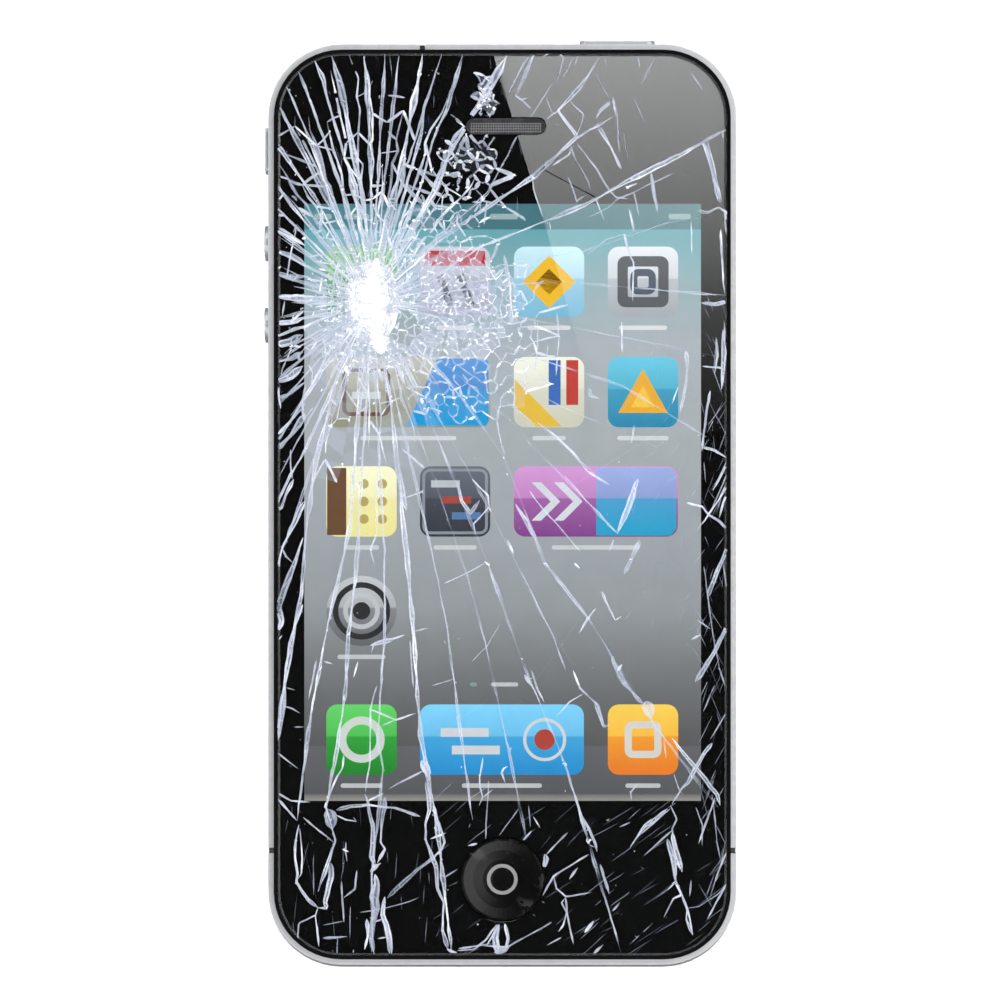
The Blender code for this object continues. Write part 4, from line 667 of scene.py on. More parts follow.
# Cracks that run out from the impact: width in mm, cover, how far its two lips part, and the course as
# distance in mm and bearing in degrees.
longCracks = [
    (0.30, 0.9, 0.36, [(3.5, 22), (9, 22), (15.5, 27), (21.9, 25.2), (29.1, 24.4), (35.9, 25.3), (42.7, 25.4),
                       (49.8, 26)]),
    (0.30, 0.9, 0.36, [(4, 44), (10, 44), (18, 39.5), (25.5, 37.7), (32.9, 38.8), (33.4, 45.7), (37.4, 45.9),
                       (41.8, 47)]),
    (0.16, 0.6, 0, [(31.7, 38.5), (35.7, 38.1), (38, 37.4)]),
    (0.18, 0.6, 0.22, [(6, 48), (19.7, 43.1), (27.9, 48.8), (30.6, 46)]),
    (0.50, 1.0, 0.65, [(5, 61.5), (9, 61.5), (16, 60.5), (22.4, 62.8), (27.9, 61.4), (35.4, 61.1)]),
    (0.34, 0.9, 0.36, [(6, 66), (16.2, 67.1), (19.6, 68.8), (23.1, 69.4), (25.9, 68.7), (32.9, 69.8)]),
    (0.26, 0.8, 0.22, [(8, 73), (21.7, 73.5), (25.2, 74.9), (32.1, 74.2)]),
    (0.42, 1.0, 0.5, [(5, 79), (10, 79), (18.7, 77.7), (24.8, 78.1), (31.6, 78.4)]),
    (0.26, 0.8, 0.22, [(8, 83), (15, 84), (31.2, 83.7)]),
    (0.26, 0.8, 0.22, [(7, 88), (15, 87), (31, 87)]),
    (0.36, 0.9, 0.36, [(6, 90), (19.9, 90.6), (23.9, 91), (27.9, 91.3), (31, 91.9)]),
    (0.42, 1.0, 0.5, [(5, 94), (9, 94), (14.6, 95.7), (20.9, 97.4), (26.7, 98.1), (31.1, 99.3)]),
    (0.34, 0.9, 0.36, [(6, 97), (14.7, 98.2), (18.2, 100.6), (25.5, 102.3), (28.3, 102.3), (31.5, 103.6)]),
    (0.34, 0.9, 0.36, [(6, 104), (15, 105.3), (19.5, 106.2), (26.3, 107), (30.5, 107.7)]),
    (0.30, 0.9, 0.36, [(6, 110), (13.3, 111.1), (17.2, 111.4), (21.1, 110.8), (29.6, 111.7)]),
    (0.34, 0.9, 0.36, [(4, 111.5), (7, 111.5), (12.2, 113.2), (16.4, 114.1), (27.8, 115.3)]),
    (0.30, 0.9, 0.36, [(5, 118), (14.4, 118.6), (20.2, 120.4), (23.6, 121.2), (27, 122)]),
    (0.30, 0.9, 0.36, [(5, 129), (11.8, 129.5), (14.6, 130), (19.2, 129), (24, 129)]),
    (0.26, 0.8, 0.22, [(4, 135), (12, 135.5), (20, 135)]),
    (0.24, 0.8, 0.22, [(4, 143), (17, 143)]),
    (0.26, 0.9, 0.22, [(3.5, 150), (6.5, 150), (13, 152), (15, 152)]),
    (0.22, 0.8, 0.22, [(3.5, 164), (13, 164)]),
    (0.22, 0.8, 0.22, [(3.5, 176), (12.5, 176)]),
    (0.26, 0.9, 0.22, [(3.5, 195), (6.5, 195), (13, 192)]),
    (0.20, 0.8, 0.22, [(4, 200), (13, 200.5)]),
    (0.20, 0.8, 0.22, [(4, 212), (14, 212)]),
    (0.20, 0.8, 0.22, [(5, 219), (16, 219.5)]),
    (0.28, 0.9, 0.22, [(5, 229), (8, 229), (14, 235), (20, 236), (23, 236)]),
    (0.20, 0.8, 0.22, [(6, 227.5), (18, 228)]),
    (0.18, 0.7, 0, [(6, 242), (25, 242)]),
    (0.26, 0.9, 0.22, [(6, 245), (20.3, 245.8), (23.7, 245), (28.3, 244.9)]),
    (0.30, 0.9, 0.36, [(6, 246), (11, 246), (20.6, 250.4), (28.9, 253.7), (37.3, 256.4), (47.3, 257),
                       (57.4, 257.8)]),
    (0.20, 0.7, 0.22, [(6, 250), (20, 250), (32.8, 250.3)]),
    (0.32, 0.9, 0.36, [(6, 263), (14, 263), (28, 264.5), (41.4, 262.2), (52.5, 261.6), (65.5, 261.8)]),
    (0.28, 0.9, 0.36, [(8, 267), (34.9, 266.6), (41.6, 266), (49.5, 266.1), (56.2, 265.5), (63.4, 264.8),
                       (67.5, 266.1), (74, 264.8)]),
    (0.24, 0.8, 0.22, [(8, 272), (31.1, 272.9), (41.5, 272.2), (55, 270.7), (58.2, 271.4), (71.5, 270),
                       (81.3, 270)]),
    (0.30, 0.9, 0.36, [(6, 281), (12, 281), (32.4, 277.8), (41.6, 277.2), (54.3, 276.4), (65.5, 277.1),
                       (81.9, 277)]),
    (0.18, 0.7, 0.22, [(10, 284), (33, 283.5), (41.9, 283), (53, 281.8), (66, 281)]),
    (0.20, 0.7, 0.22, [(10, 290), (36.2, 289.2), (44.4, 288.4), (58.6, 287), (70, 286)]),
    (0.28, 0.9, 0.22, [(6, 297), (14, 297), (36, 293.9), (48.3, 292.7), (62.6, 292.7), (72.6, 291.9),
                       (87.5, 290.9)]),
    (0.20, 0.7, 0.22, [(10, 301), (30, 299.5), (44.4, 298.5), (52, 299)]),
    (0.28, 0.9, 0.22, [(5, 316), (9, 316), (16.8, 313.1), (25.5, 310.4), (39.2, 303.5), (48, 304.4),
                       (63.4, 303.7), (76.6, 304.4)]),
    (0.20, 0.7, 0.22, [(8, 320), (22.7, 319.4), (26.5, 318.2), (36.7, 317.1), (41.9, 316.7)]),
    (0.16, 0.6, 0, [(12, 324), (29.4, 323), (36.4, 322.2)]),
    (0.20, 0.7, 0.22, [(5, 345), (10, 345), (21, 341), (33, 341.5), (45, 338)]),
    (0.16, 0.6, 0.22, [(6, 330), (16, 332), (27, 331), (40, 333)]),
    (0.16, 0.6, 0.22, [(6, 355), (18, 354), (31, 352), (44, 351)]),
    (0.18, 0.7, 0.22, [(5, 5), (14, 8), (24, 6), (33, 3), (44.2, 1)]),
    (0.16, 0.6, 0, [(6, 14), (17, 15.5), (29, 13.5), (38, 15), (45, 14)]),
]

# Short cracks away from the impact, in mm from the middle of the phone: width, cover, then x and y of
# each point of the course.
shortCracks = [
    (0.22, 0.6, 9.3, 45.1, 11.8, 41.9, 13.3, 39.4, 14.3, 38.2),
    (0.15, 0.5, 8.5, 45.1, 9.1, 43.2, 10.8, 40.3, 11, 39.2),
    (0.2, 0.6, 2.4, -8.4, 4.9, -13.6, 6.4, -16.5, 7.9, -20.7),
    (0.2, 0.6, 8.9, -20.7, 9.7, -23, 11.8, -24.9, 12.7, -27.8), (0.25, 0.7, 1.6, 0.1, 4.1, -4.4),
    (0.2, 0.7, 14.2, -3.5, 15.6, -1.1, 16.8, 2.2), (0.16, 0.6, 27.7, 22.9, 27.9, 18.9, 27.5, 14.5),
    (0.14, 0.5, 26.8, 20.8, 26.4, 16.8), (0.16, 0.6, 25.8, 13.9, 25, 6.8), (0.16, 0.6, 28, 5.4, 26.4, 1.8),
    (0.18, 0.6, 28, 3.7, 26, -1.1, 24.3, -3.2), (0.2, 0.7, 25.2, 45.5, 26, 42.8, 27.3, 37.4),
    (0.2, 0.6, 27.7, 36.9, 28, 33.6), (0.35, 0.8, 12, 47.2, 13.5, 44.7, 14.9, 41.9),
    (0.16, 0.6, 8.3, 40.9, 9.3, 38, 10.1, 38.6), (0.2, 0.7, 18.6, 41.5, 18.9, 39.9, 19.3, 36.5),
    (0.16, 0.6, 14.3, 49.7, 14.6, 44), (0.16, 0.6, 1, 52, 3.5, 56.2), (0.16, 0.6, 1.8, 51.5, 4.1, 56.2),
    (0.14, 0.6, 1.4, 51.5, 3.7, 49.5), (0.16, 0.6, 16, 36.9, 16.6, 34), (0.16, 0.6, 15.4, 33.8, 15.8, 31.5),
    (0.14, 0.5, 17, 55.7, 17.2, 54.5), (0.14, 0.5, 19.1, 55.9, 17.7, 52.6),
    (0.3, 0.8, 19.5, 53.4, 19.8, 53.3), (0.16, 0.6, 23.5, 54, 25.2, 51.5),
    (0.2, 0.7, -11.1, -15.9, -9.2, -15.4), (0.2, 0.7, -14.6, -17, -12.1, -16.3),
    (0.2, 0.7, -7.3, -9.9, -4.6, -8.6, -2, -7.3), (0.18, 0.6, -6, -21.8, -8.8, -22.6),
    (0.2, 0.7, -28, -31.1, -25.5, -33), (0.2, 0.7, -15.7, -22.6, -16.5, -25.5, -16.5, -31.8, -17.1, -35.9),
    (0.2, 0.7, -14.2, -35.5, -9.8, -33.2),
    (0.25, 0.8, -20.7, -38.2, -19, -37.7, -16.5, -37.6, -13.4, -37.9, -10.3, -39),
    (0.25, 0.8, -28, -36.8, -25.7, -39.5), (0.2, 0.7, -24.9, -39.1, -21.1, -42.2),
    (0.25, 0.8, -8.2, -43.9, -10.7, -45.7, -14.4, -49.1), (0.2, 0.6, -7.3, -46.6, -5.5, -45.5),
    (0.2, 0.7, -20.1, -47, -19.8, -52.2), (0.2, 0.7, -18.2, -45.7, -18.4, -48, -19.8, -49.1),
    (0.2, 0.7, -14.6, -49.1, -14.8, -51.2, -13.8, -56.2), (0.2, 0.7, -5.5, -55.5, -1.3, -54.9),
    (0.2, 0.7, -2.1, -55.3, -0.2, -52.2), (0.2, 0.7, -0.4, -52.4, -0.7, -55.8),
    (0.2, 0.7, 10.8, -43.7, 6.4, -46.4, 4.9, -49.1), (0.2, 0.7, 6.4, -46.4, 6.8, -48, 7.9, -49, 11.2, -48.5),
    (0.2, 0.7, 7.9, -49, 8.1, -51.2, 8.9, -54.9),
    (0.18, 0.7, 21, -37.6, 21.8, -39.3, 21.2, -40.5, 21.8, -44.9, 22.2, -45.7),
    (0.2, 0.8, 20.6, -42, 21.6, -46.8, 23.1, -50.3, 23.8, -53.7), (0.18, 0.6, 21, -38, 17, -41.4),
    (0.18, 0.6, 21.2, -40.7, 17.7, -43.9), (0.2, 0.7, 26.6, -36.6, 24.5, -42.4),
    (0.22, 0.8, 28, -43.5, 26.4, -47.4), (0.2, 0.7, 28, -47.4, 25.6, -51.8),
    (0.2, 0.7, 6.2, -52.2, 0.6, -55.3, -2.4, -55.1), (0.18, 0.7, 7.4, -54.1, 5.6, -55.1),
    (0.2, 0.7, 13.7, -50.8, 14.7, -49.7), (0.3, 0.8, 13, -39.4, 13.3, -39.6),
    (0.3, 0.8, 3.8, -51.2, 4.1, -51.4), (0.3, 0.8, 5, -49.6, 5.3, -49.8),
    (0.3, 0.8, 16.6, -53.9, 16.9, -54.1), (0.3, 0.8, 17.3, -45.3, 17.6, -45.5),
    (0.15, 0.6, 2, -38, -0.5, -41.6), (0.15, 0.6, 3.3, -37.6, 3.5, -40.3),
    (0.15, 0.6, -1.7, -34.5, -2.1, -41.8), (0.16, 0.6, 9.3, 46, 9.9, 47.6, 10.1, 48.8, 8.8, 50, 8.4, 50.8),
    (0.24, 0.8, 2.8, 55.6, 1.9, 53.6, 0.8, 51.4), (0.24, 0.8, 4, 56.4, 3.1, 54.2, 1.7, 51.2),
    (0.16, 0.7, 3, 54.8, 3.6, 54.7), (0.16, 0.7, 2.3, 53.6, 3.2, 53.4), (0.18, 0.7, 1.5, 52.4, 2.6, 52.2),
    (0.2, 0.8, 1.5, 51.2, 2.3, 50.6, 3.5, 50.8), (0.16, 0.6, 2.3, 50.6, 3.8, 49.2),
    (0.16, 0.6, 6.2, 52.8, 5.5, 51.4, 3.2, 47.9), (0.14, 0.6, 5.4, 50.9, 6.4, 48.4),
    (0.2, 0.8, 7, 49.1, 6.3, 48.8, 4.9, 47.4), (0.16, 0.6, 8.8, 55.8, 8, 54, 7, 52.7),
    (0.16, 0.6, 7.7, 56, 7.4, 54.8, 6.8, 52.6), (0.18, 0.7, 5.1, 56, 6.4, 56.6, 7.4, 56.1, 8, 55.6),
    (0.16, 0.7, 9.4, 56, 9, 54.6), (0.14, 0.6, 12.8, 55.8, 13.1, 54.2), (0.12, 0.5, 11.7, 53.8, 13.5, 50.4),
    (0.34, 0.9, 13.5, 50.3, 12.4, 49.4, 11.7, 48.2), (0.34, 0.8, 13.8, 51, 14.2, 48.6),
    (0.2, 0.8, 9.3, 45.8, 10.8, 46.8, 12, 47.3, 13.8, 48.5), (0.14, 0.5, 14.4, 48.2, 14.4, 45.8, 14.7, 43.8),
    (0.1, 0.35, 15.2, 46.6, 15.4, 44.6, 15.8, 42.6), (0.2, 0.8, 6.3, 42.4, 8.4, 43.8, 8.5, 44.6),
    (0.18, 0.7, 8.2, 41, 9.3, 37.8, 10.6, 38.8),
    (0.16, 0.6, 10.6, 35.8, 13.4, 37.2, 14.4, 38.2, 16.4, 39, 18.4, 40, 21.4, 41.4),
    (0.18, 0.7, 13.2, 39.4, 14.2, 38.4, 15.8, 38.2), (0.2, 0.8, 11.7, 38.2, 12.8, 35.4),
    (0.18, 0.6, 16.4, 39.2, 17.1, 36), (0.36, 0.85, 18.6, 41.6, 18.8, 39.8, 19, 38.2, 19.4, 36.6),
    (0.24, 0.9, 15.8, 37, 16.5, 34), (0.24, 0.9, 15.2, 33.8, 16.1, 30.5),
    (0.2, 0.8, 25, 45.4, 26, 42.4, 27, 37.8), (0.2, 0.8, 25.6, 45.6, 26.4, 42.4, 27.4, 37.8),
    (0.4, 0.5, 25.3, 45, 26.3, 42, 27.1, 38.2),
    (0.26, 0.9, 24.4, 36.8, 25.6, 36.4, 27, 37.2, 27.9, 36.6, 28.2, 33.6),
    (0.2, 0.9, 27.2, 34, 27.4, 31.5, 27.7, 28.1), (0.22, 0.9, 27.5, 46.6, 27.6, 45.4),
    (0.2, 0.8, 28, 43.8, 28.4, 43), (0.2, 0.8, 23.6, 35.4, 23.7, 31.3), (0.12, 0.5, 16.4, 50.8, 18, 47.4),
    (0.1, 0.4, 23.6, 54, 25.2, 51.6), (0.18, 0.7, 16.9, 56, 17.2, 54.6),
    (0.16, 0.7, 17.5, 52.6, 18.1, 54.2, 19, 55.9), (0.18, 0.7, 3.8, 40.8, 3.9, 39.4, 4.5, 37.6, 5.1, 35.8),
    (0.18, 0.7, 5.9, 35.4, 6.1, 34), (0.2, 0.8, 15.3, 33.7, 15.9, 31.4, 16.4, 30.2, 16.3, 25.4),
    (0.26, 0.9, 14.9, 22.9, 15, 19), (0.28, 0.9, 23, 19.2, 23.1, 16.7, 22.8, 14, 22.2, 11.5),
    (0.22, 0.9, 22, 14.8, 21.2, 12.6), (0.2, 0.8, 6.8, 24, 7.1, 20.9, 6.7, 16.1),
    (0.18, 0.7, 4.4, 23.1, 4.4, 19.8, 4.1, 16.7), (0.14, 0.6, 5.7, 20, 5.4, 16.9),
    (0.28, 0.9, 0.2, 31.2, 1, 27.1, 1.2, 22.5), (0.26, 0.9, -2.2, 30.6, -0.8, 28.3, 0.3, 29.6),
    (0.2, 0.8, 16.5, 9.9, 16.1, 7.6), (0.34, 0.9, 24.8, 25.2, 26.5, 25, 28.2, 25.4),
    (0.26, 0.8, 25, 17.3, 27.1, 17.1, 28.2, 16.7), (0.26, 0.8, 25, 7.2, 26.5, 6.8, 28.2, 5.7),
    (0.22, 0.9, 27.3, 34.4, 27.5, 29.2, 27.8, 26.1), (0.24, 0.9, 27.6, 21.9, 27.7, 18.8, 27.4, 14.4),
    (0.22, 0.9, 26.7, 20.9, 26.9, 18.6, 26.5, 16.3), (0.24, 0.9, 26, 14.2, 25.4, 10.9, 24.9, 6.8),
    (0.2, 0.8, 28.2, 5.3, 27.1, 3.2, 26.3, 1.8), (0.12, 0.5, 25.2, 5.3, 25.4, 2.8),
    (0.24, 0.9, 10.9, 14.6, 11, 13.6, 12.2, 13.2), (0.16, 0.6, 10.5, 31.2, 13, 33.1, 15.9, 33.9),
    (0.14, 0.6, 9.7, 31.4, 11.7, 32.3), (0.22, 0.8, 4.3, 10.3, 6.6, 8.6, 8.8, 6.5, 10.5, 4.3, 13.4, 2.4),
    (0.26, 0.95, -25.4, -40, -25.8, -42, -25.9, -44, -25.6, -46, -25.8, -47.2, -24.2, -49.4, -23, -50.4),
    (0.18, 0.8, -25.3, -40.4, -25, -44.2, -25.1, -46.2, -25.6, -46.9),
    (0.24, 0.9, -23, -50.4, -23.4, -51.4, -23, -54.2, -22.9, -55.2),
    (0.22, 0.8, -23.2, -51.2, -25.4, -52.3, -25.6, -54, -25.3, -54.8),
    (0.2, 0.8, -19.8, -31.2, -20, -33, -20.6, -34, -21.4, -35.8, -22, -37.8),
    (0.28, 1, -21.4, -44.8, -21.4, -46.6, -21.8, -48.6, -22.2, -49.8, -21.9, -50.4, -23, -50.4),
    (0.6, 0.95, -21.8, -38.1, -21.4, -39.4, -21.3, -40.6),
    (0.24, 0.8, -17.2, -36.2, -16.8, -37, -16.6, -38.6, -16.2, -40.2, -16.2, -42.2, -16.3, -44, -15.8, -45.2),
    (0.22, 0.9, -16.8, -37, -15.8, -36.6, -14.8, -36.1),
    (0.3, 0.85, -14.6, -36.6, -15.1, -40.2, -15.2, -42.2, -14.6, -43, -15.6, -44.8),
    (0.55, 1, -16.5, -45.9, -15.8, -45.2, -15.2, -44.8),
    (0.5, 0.85, -15.9, -46.2, -15.6, -47.4, -16, -49.2, -15.8, -50.6, -16.2, -52.2, -16.4, -54.2, -16, -56.2),
    (0.28, 0.95, -14.7, -49, -15, -51.2, -14.4, -52.6, -14.2, -54.2, -13.9, -56.4),
    (0.2, 0.8, -16, -52.2, -14.6, -51.6), (0.2, 0.8, -15.6, -54.2, -14.2, -54),
    (0.26, 0.9, -16.9, -51.8, -16.8, -54, -17.2, -55.6), (0.3, 0.6, -22.4, -54.2, -20.8, -54.1, -19.4, -54),
    (0.16, 0.6, -20.6, -54, -20.6, -56.4), (0.2, 0.8, -18.6, -55.6, -18.7, -56.7),
    (0.24, 0.9, -9.6, -34.6, -9.2, -36.6, -9.1, -38.2, -9.6, -40, -9.6, -41.8, -9, -43.4, -8.3, -45, -8.1,
     -48, -7.3, -49.8, -7.5, -53.2, -6.8, -55.6),
    (0.32, 1, -8.6, -37.4, -8.2, -39.4, -7.5, -41, -7.2, -42.2, -7.8, -43.4, -8.6, -44),
    (0.6, 0.9, -10.1, -32, -9.4, -33.2, -9.1, -34.4), (0.7, 1, -6.9, -55.6, -6.3, -55.9, -5.7, -56),
    (0.24, 0.9, -9, -41.8, -7, -41),
    (0.24, 0.8, -2.4, -31.6, -2.8, -33.8, -2.8, -35.2, -2.4, -36.6, -2.9, -37.6),
    (0.18, 0.7, -2.4, -36.6, -1.2, -35.6), (0.2, 0.7, -28.2, -36, -26.4, -37, -24, -37.2),
    (0.18, 0.7, -20.8, -38.8, -19.6, -39.4, -18.2, -39.6, -18.6, -39.1), (0.5, 0.8, -20, -43.1, -19.2, -43.4),
    (0.24, 0.8, -19.6, -42.2, -19.6, -43.1, -19.4, -44.6),
    (0.2, 0.7, -5.6, -55.7, -3.6, -55.6, -2, -54.4, -0.8, -52.6), (0.26, 0.95, -4.3, -42.6, -2.8, -42.3),
    (0.3, 0.8, -4.2, -40.4, -4, -39.9), (0.14, 0.5, -17.8, -51, -14.4, -50.4, -11.6, -49.6, -10.4, -49.1),
    (0.14, 0.5, -22.4, -52.6, -19.8, -52), (0.12, 0.35, -23.6, -43.8, -23.6, -48.8),
    (0.12, 0.4, -19, -50.2, -19, -54.2),
    (0.24, 0.8, 9, -36.2, 9.8, -38.6, 10.9, -40.6, 11.6, -42.2, 11.9, -43.4),
    (0.45, 1, 10.5, -40.8, 11, -40.4), (0.4, 1, 10.9, -42.5, 11.5, -42.8),
    (0.22, 0.8, 13.8, -50.8, 14.6, -50), (0.34, 0.8, 12.2, -45, 12.8, -46.8, 13.3, -48.6),
    (0.2, 0.8, 7.8, -49.2, 7.4, -49.8, 8.1, -51, 7.6, -52.6, 7, -53.4), (0.6, 0.95, 10.3, -53.5, 11.4, -52),
    (0.42, 0.95, 11.4, -56.1, 12.6, -55), (0.36, 0.95, 8.4, -46.8, 8.8, -46.2, 9.4, -45.4),
    (0.36, 1, 5.3, -43.7, 5.5, -44.3, 5.2, -45.9), (0.26, 1, 3.7, -40.8, 2.4, -42.2),
    (0.2, 0.8, 3.9, -39, 4.7, -40.4), (0.2, 0.7, 8.2, -41, 6.4, -42.8, 5.5, -43.8),
    (0.42, 1, 13.1, -39.5, 13.4, -39.3), (0.24, 0.7, 14.6, -40.3, 16, -39.7),
    (0.24, 0.9, 20.6, -38, 19.2, -39.2, 17.8, -40.2, 17, -41.4, 16, -42.8),
    (0.26, 0.9, 21.2, -41, 21.6, -43, 22.5, -45.9), (0.28, 0.9, 20.6, -41.8, 21.4, -44.2, 21.7, -46.9),
    (0.45, 1, 21.2, -47.4, 21.7, -47), (0.24, 0.9, 21.6, -47.2, 20.6, -48.2),
    (0.22, 0.8, 21.6, -47.2, 22.4, -48.8, 21.4, -49.2, 20.2, -51.6),
    (0.24, 0.9, 22.4, -48.8, 23.1, -50.6, 23, -51.8, 23.8, -53.8),
    (0.14, 0.5, 23.2, -50.4, 24.6, -50.2, 26.8, -48.8, 28.4, -47.4),
    (0.24, 0.85, 26.2, -29.8, 25.2, -31.2, 24.2, -32.9, 23.2, -34.8, 22.4, -35.6, 21.2, -37.4),
    (0.24, 0.85, 21.2, -29.2, 23.6, -32.2, 24.6, -33.4, 26, -35.2, 26.8, -36.2, 27.2, -37.6),
    (0.16, 0.5, 26.2, -36.2, 26.6, -39.4, 26.8, -42.2, 27.3, -44.4),
    (0.16, 0.6, 24.2, -37.8, 25, -40, 25, -42.6), (0.2, 0.7, 21.4, -33.6, 22.2, -35.8, 22.6, -36.2),
    (0.42, 0.9, -0.5, -52.2, -0.9, -54.2, -0.6, -56.2), (0.26, 0.9, 0.3, -52.4, 0.7, -54.2, 0.4, -55.9),
    (0.5, 1, -1, -56, 0.3, -55.6, 1, -55.1), (0.2, 0.8, 23.6, -46.9, 23.4, -49),
    (0.2, 0.9, 0.7, -32.7, 0.2, -32.9, -0.1, -33.5, 0.4, -34.8), (0.16, 0.6, 20.2, -29.4, 20.5, -31.8),
    (0.2, 0.7, 16.1, -37, 16, -35.9, 17.1, -34.8),
    (0.26, 0.9, -26.2, 4.3, -28.1, 0.2, -28.3, -0.7, -27.6, -0.4, -26.9, 1.5, -26.1, 3.2),
    (0.26, 0.9, -24.7, 0.4, -25.8, -1.9, -27.5, -5.4, -28.1, -8.4, -28.3, -9.7),
    (0.3, 0.95, -24.9, -4.1, -26, -7.3, -27.3, -10.6, -27.9, -12.9, -27.5, -14.6, -28, -16),
    (0.26, 1, -27.5, -16.3, -28.3, -17.3),
    (0.28, 0.95, -24.9, -12.5, -26.2, -16.2, -27, -20.5, -27.2, -22.8, -27.4, -25.2, -28, -29.5),
    (0.18, 0.8, -27, -22.9, -25.9, -23.2), (0.16, 0.7, -27.3, -25.2, -26.3, -25.5, -25.3, -26.1),
    (0.18, 0.8, -26, -27.8, -24.8, -27.8), (0.2, 0.8, -27.7, -5.2, -27, -6.5, -26, -7.4),
    (0.16, 0.7, -27.5, -10.6, -26.1, -8.6), (0.26, 0.95, -5.7, 3, -5.1, 0.4, -4, -1.1, -2.8, 0.5),
    (0.2, 0.8, -3.8, 3.2, -1.8, 1.1, -1.6, -0.3, -3.6, -2.4, -3.3, -3.7),
    (0.24, 0.9, -18.9, 4.3, -18.6, 2.6, -17.6, 2),
    (0.2, 0.8, -15.5, 4.3, -15.8, 0.4, -15.6, -2.1, -15.9, -4.3, -16.5, -5.6, -16, -7.6),
    (0.45, 1, -15.9, -1.5, -15.8, -2.1), (0.26, 0.95, -12.8, 4.3, -12.4, 1.1, -11.9, -0.7),
    (0.2, 0.8, -12.1, 0.8, -10, 1.7), (0.5, 1, -10.4, 1.3, -9.8, 1.8), (0.4, 1, -2.2, -7.1, -1.5, -7.7),
    (0.2, 0.8, -11.5, -17, -11.3, -20, -11.1, -22.9), (0.28, 0.95, -18, -19.6, -18.6, -21.6),
    (0.42, 0.95, -22.9, -20.9, -22.5, -20.2), (0.22, 0.8, -23.2, -19.4, -23.6, -21.5, -24.2, -24.4),
    (0.32, 0.7, -22.3, -19.6, -21.2, -19.9), (0.36, 0.8, -16.5, -17.6, -15.2, -17.2, -13.6, -16.9),
    (0.2, 0.8, -16, -17.2, -16.4, -18.5),
    (0.22, 0.85, -16.5, -25.6, -14.8, -26.3, -13.3, -26.9, -10.8, -26.1),
    (0.2, 0.8, -15, -27.6, -13.3, -26.9), (0.36, 1, -7.3, -16.9, -7.1, -17.4),
    (0.12, 0.5, -3.8, -19.6, -1.9, -17.7, -0.3, -14.9), (0.42, 0.95, 3.3, -2.5, 3.7, -3.5, 4.3, -4.6),
    (0.2, 0.8, 1.7, 0, 2.8, -1.5, 3.6, -2.8), (0.26, 0.9, 0.6, -4.3, 1.5, -6.3),
    (0.34, 0.9, 5.3, -7.2, 5.9, -8), (0.22, 0.9, 11.7, -12.9, 10.7, -14.2, 9.6, -16.1),
    (0.4, 1, 10.5, -14.1, 11, -14.3), (0.24, 0.9, 12.4, -10.9, 13.3, -12.9, 14.1, -14.5, 14.9, -14),
    (0.38, 1, 9, -7.3, 9.7, -8), (0.38, 0.8, 13.6, -19, 14.4, -20.7, 15.3, -22.4, 16.8, -24.1, 17.6, -24.8),
    (0.6, 1, 14.3, -20.9, 15, -19.9), (0.5, 1, 14.9, -22.4, 15.6, -22.2),
    (0.75, 0.95, 17.9, -24.6, 18.4, -25.9, 18.6, -26.8), (0.26, 0.9, 8.8, -20.7, 9.8, -23.1),
    (0.2, 0.75, 10.1, -23.7, 8.4, -24.6, 6.8, -26.5), (0.26, 0.9, 11.6, -24.6, 12.7, -27.8, 13.5, -27.5),
    (0.6, 0.75, 2.8, -21.2, 3.7, -22.7), (0.2, 0.75, 3.6, -20.7, 4.3, -22.8, 5.2, -24.7),
    (0.18, 0.7, 7.7, 3.7, 10.3, 0.7, 12.3, -1.3, 13.3, -2.6, 14.5, -3.7),
    (0.32, 0.95, 17, 3.2, 15.7, -0.4, 14.4, -3.7), (0.2, 0.8, 14, -4.3, 13.3, -5.9),
    (0.28, 0.9, 17.2, -4.5, 16.1, -6.9, 15.2, -8.7), (0.18, 0.7, 3.4, 1.7, 5.1, -0.6, 7.5, -3.2, 9.8, -5.9),
    (0.24, 0.9, 28.4, 3, 27.1, 0.7, 25.8, -1.3, 25, -2.4),
    (0.24, 0.9, 23, 0.2, 25, -0.3, 25.8, -1.3, 27.1, -2.1, 28.1, -3.2),
    (0.2, 0.8, 27.1, -1.7, 27.6, 0.2, 28.5, 2.2), (0.24, 0.85, 28.4, -4.7, 26.9, -8.4, 25.6, -11.7),
    (0.16, 0.5, 25.2, -7.7, 25.6, -10.8, 26.3, -16.2, 27.1, -20.5, 27.9, -22.7),
    (0.3, 0.9, 28.4, -14.6, 26.5, -18.5, 24.1, -22.2), (0.2, 0.8, 24.3, -14.4, 26, -15.6),
    (0.36, 1, 23.6, -16.9, 24.8, -16.3), (0.16, 0.5, 27.6, -7.3, 28.1, -10.8, 28.5, -12.1),
    (0.16, 0.6, 28.4, -25.4, 26, -29.3), (0.14, 0.5, 26.5, -22.6, 25.1, -25.9),
    (0.4, 0.9, -28.2, 34.5, -26.4, 33.6, -24.6, 32.3), (0.4, 0.9, -28.2, 31.6, -26.3, 31.1, -24.6, 30),
    (0.4, 0.9, -28.2, 28.9, -26.4, 28.5, -24.9, 28.3),
    (0.4, 0.9, -28.2, 26, -26.7, 25.9, -24.6, 25.7, -21.1, 25.6),
    (0.4, 0.9, -28.2, 22.7, -26.5, 22.8, -24.9, 23.2), (0.4, 0.9, -28.2, 20, -26.7, 20.3, -24.9, 21.2),
    (0.4, 0.9, -28.2, 17.8, -26.4, 18.3, -24.9, 19.1), (0.4, 0.9, -28.2, 15.3, -26.4, 16.1, -24.9, 17.3),
    (0.4, 0.9, -28.2, 13.1, -26.3, 14, -24.6, 15.4), (0.4, 0.9, -28.2, 8.6, -26.2, 10.8, -24.6, 12.9),
    (0.4, 0.9, -28.2, 6.8, -26.3, 8.8, -24.6, 11.3), (0.2, 0.8, -25.7, 34.6, -26.4, 31.3, -27, 28.1),
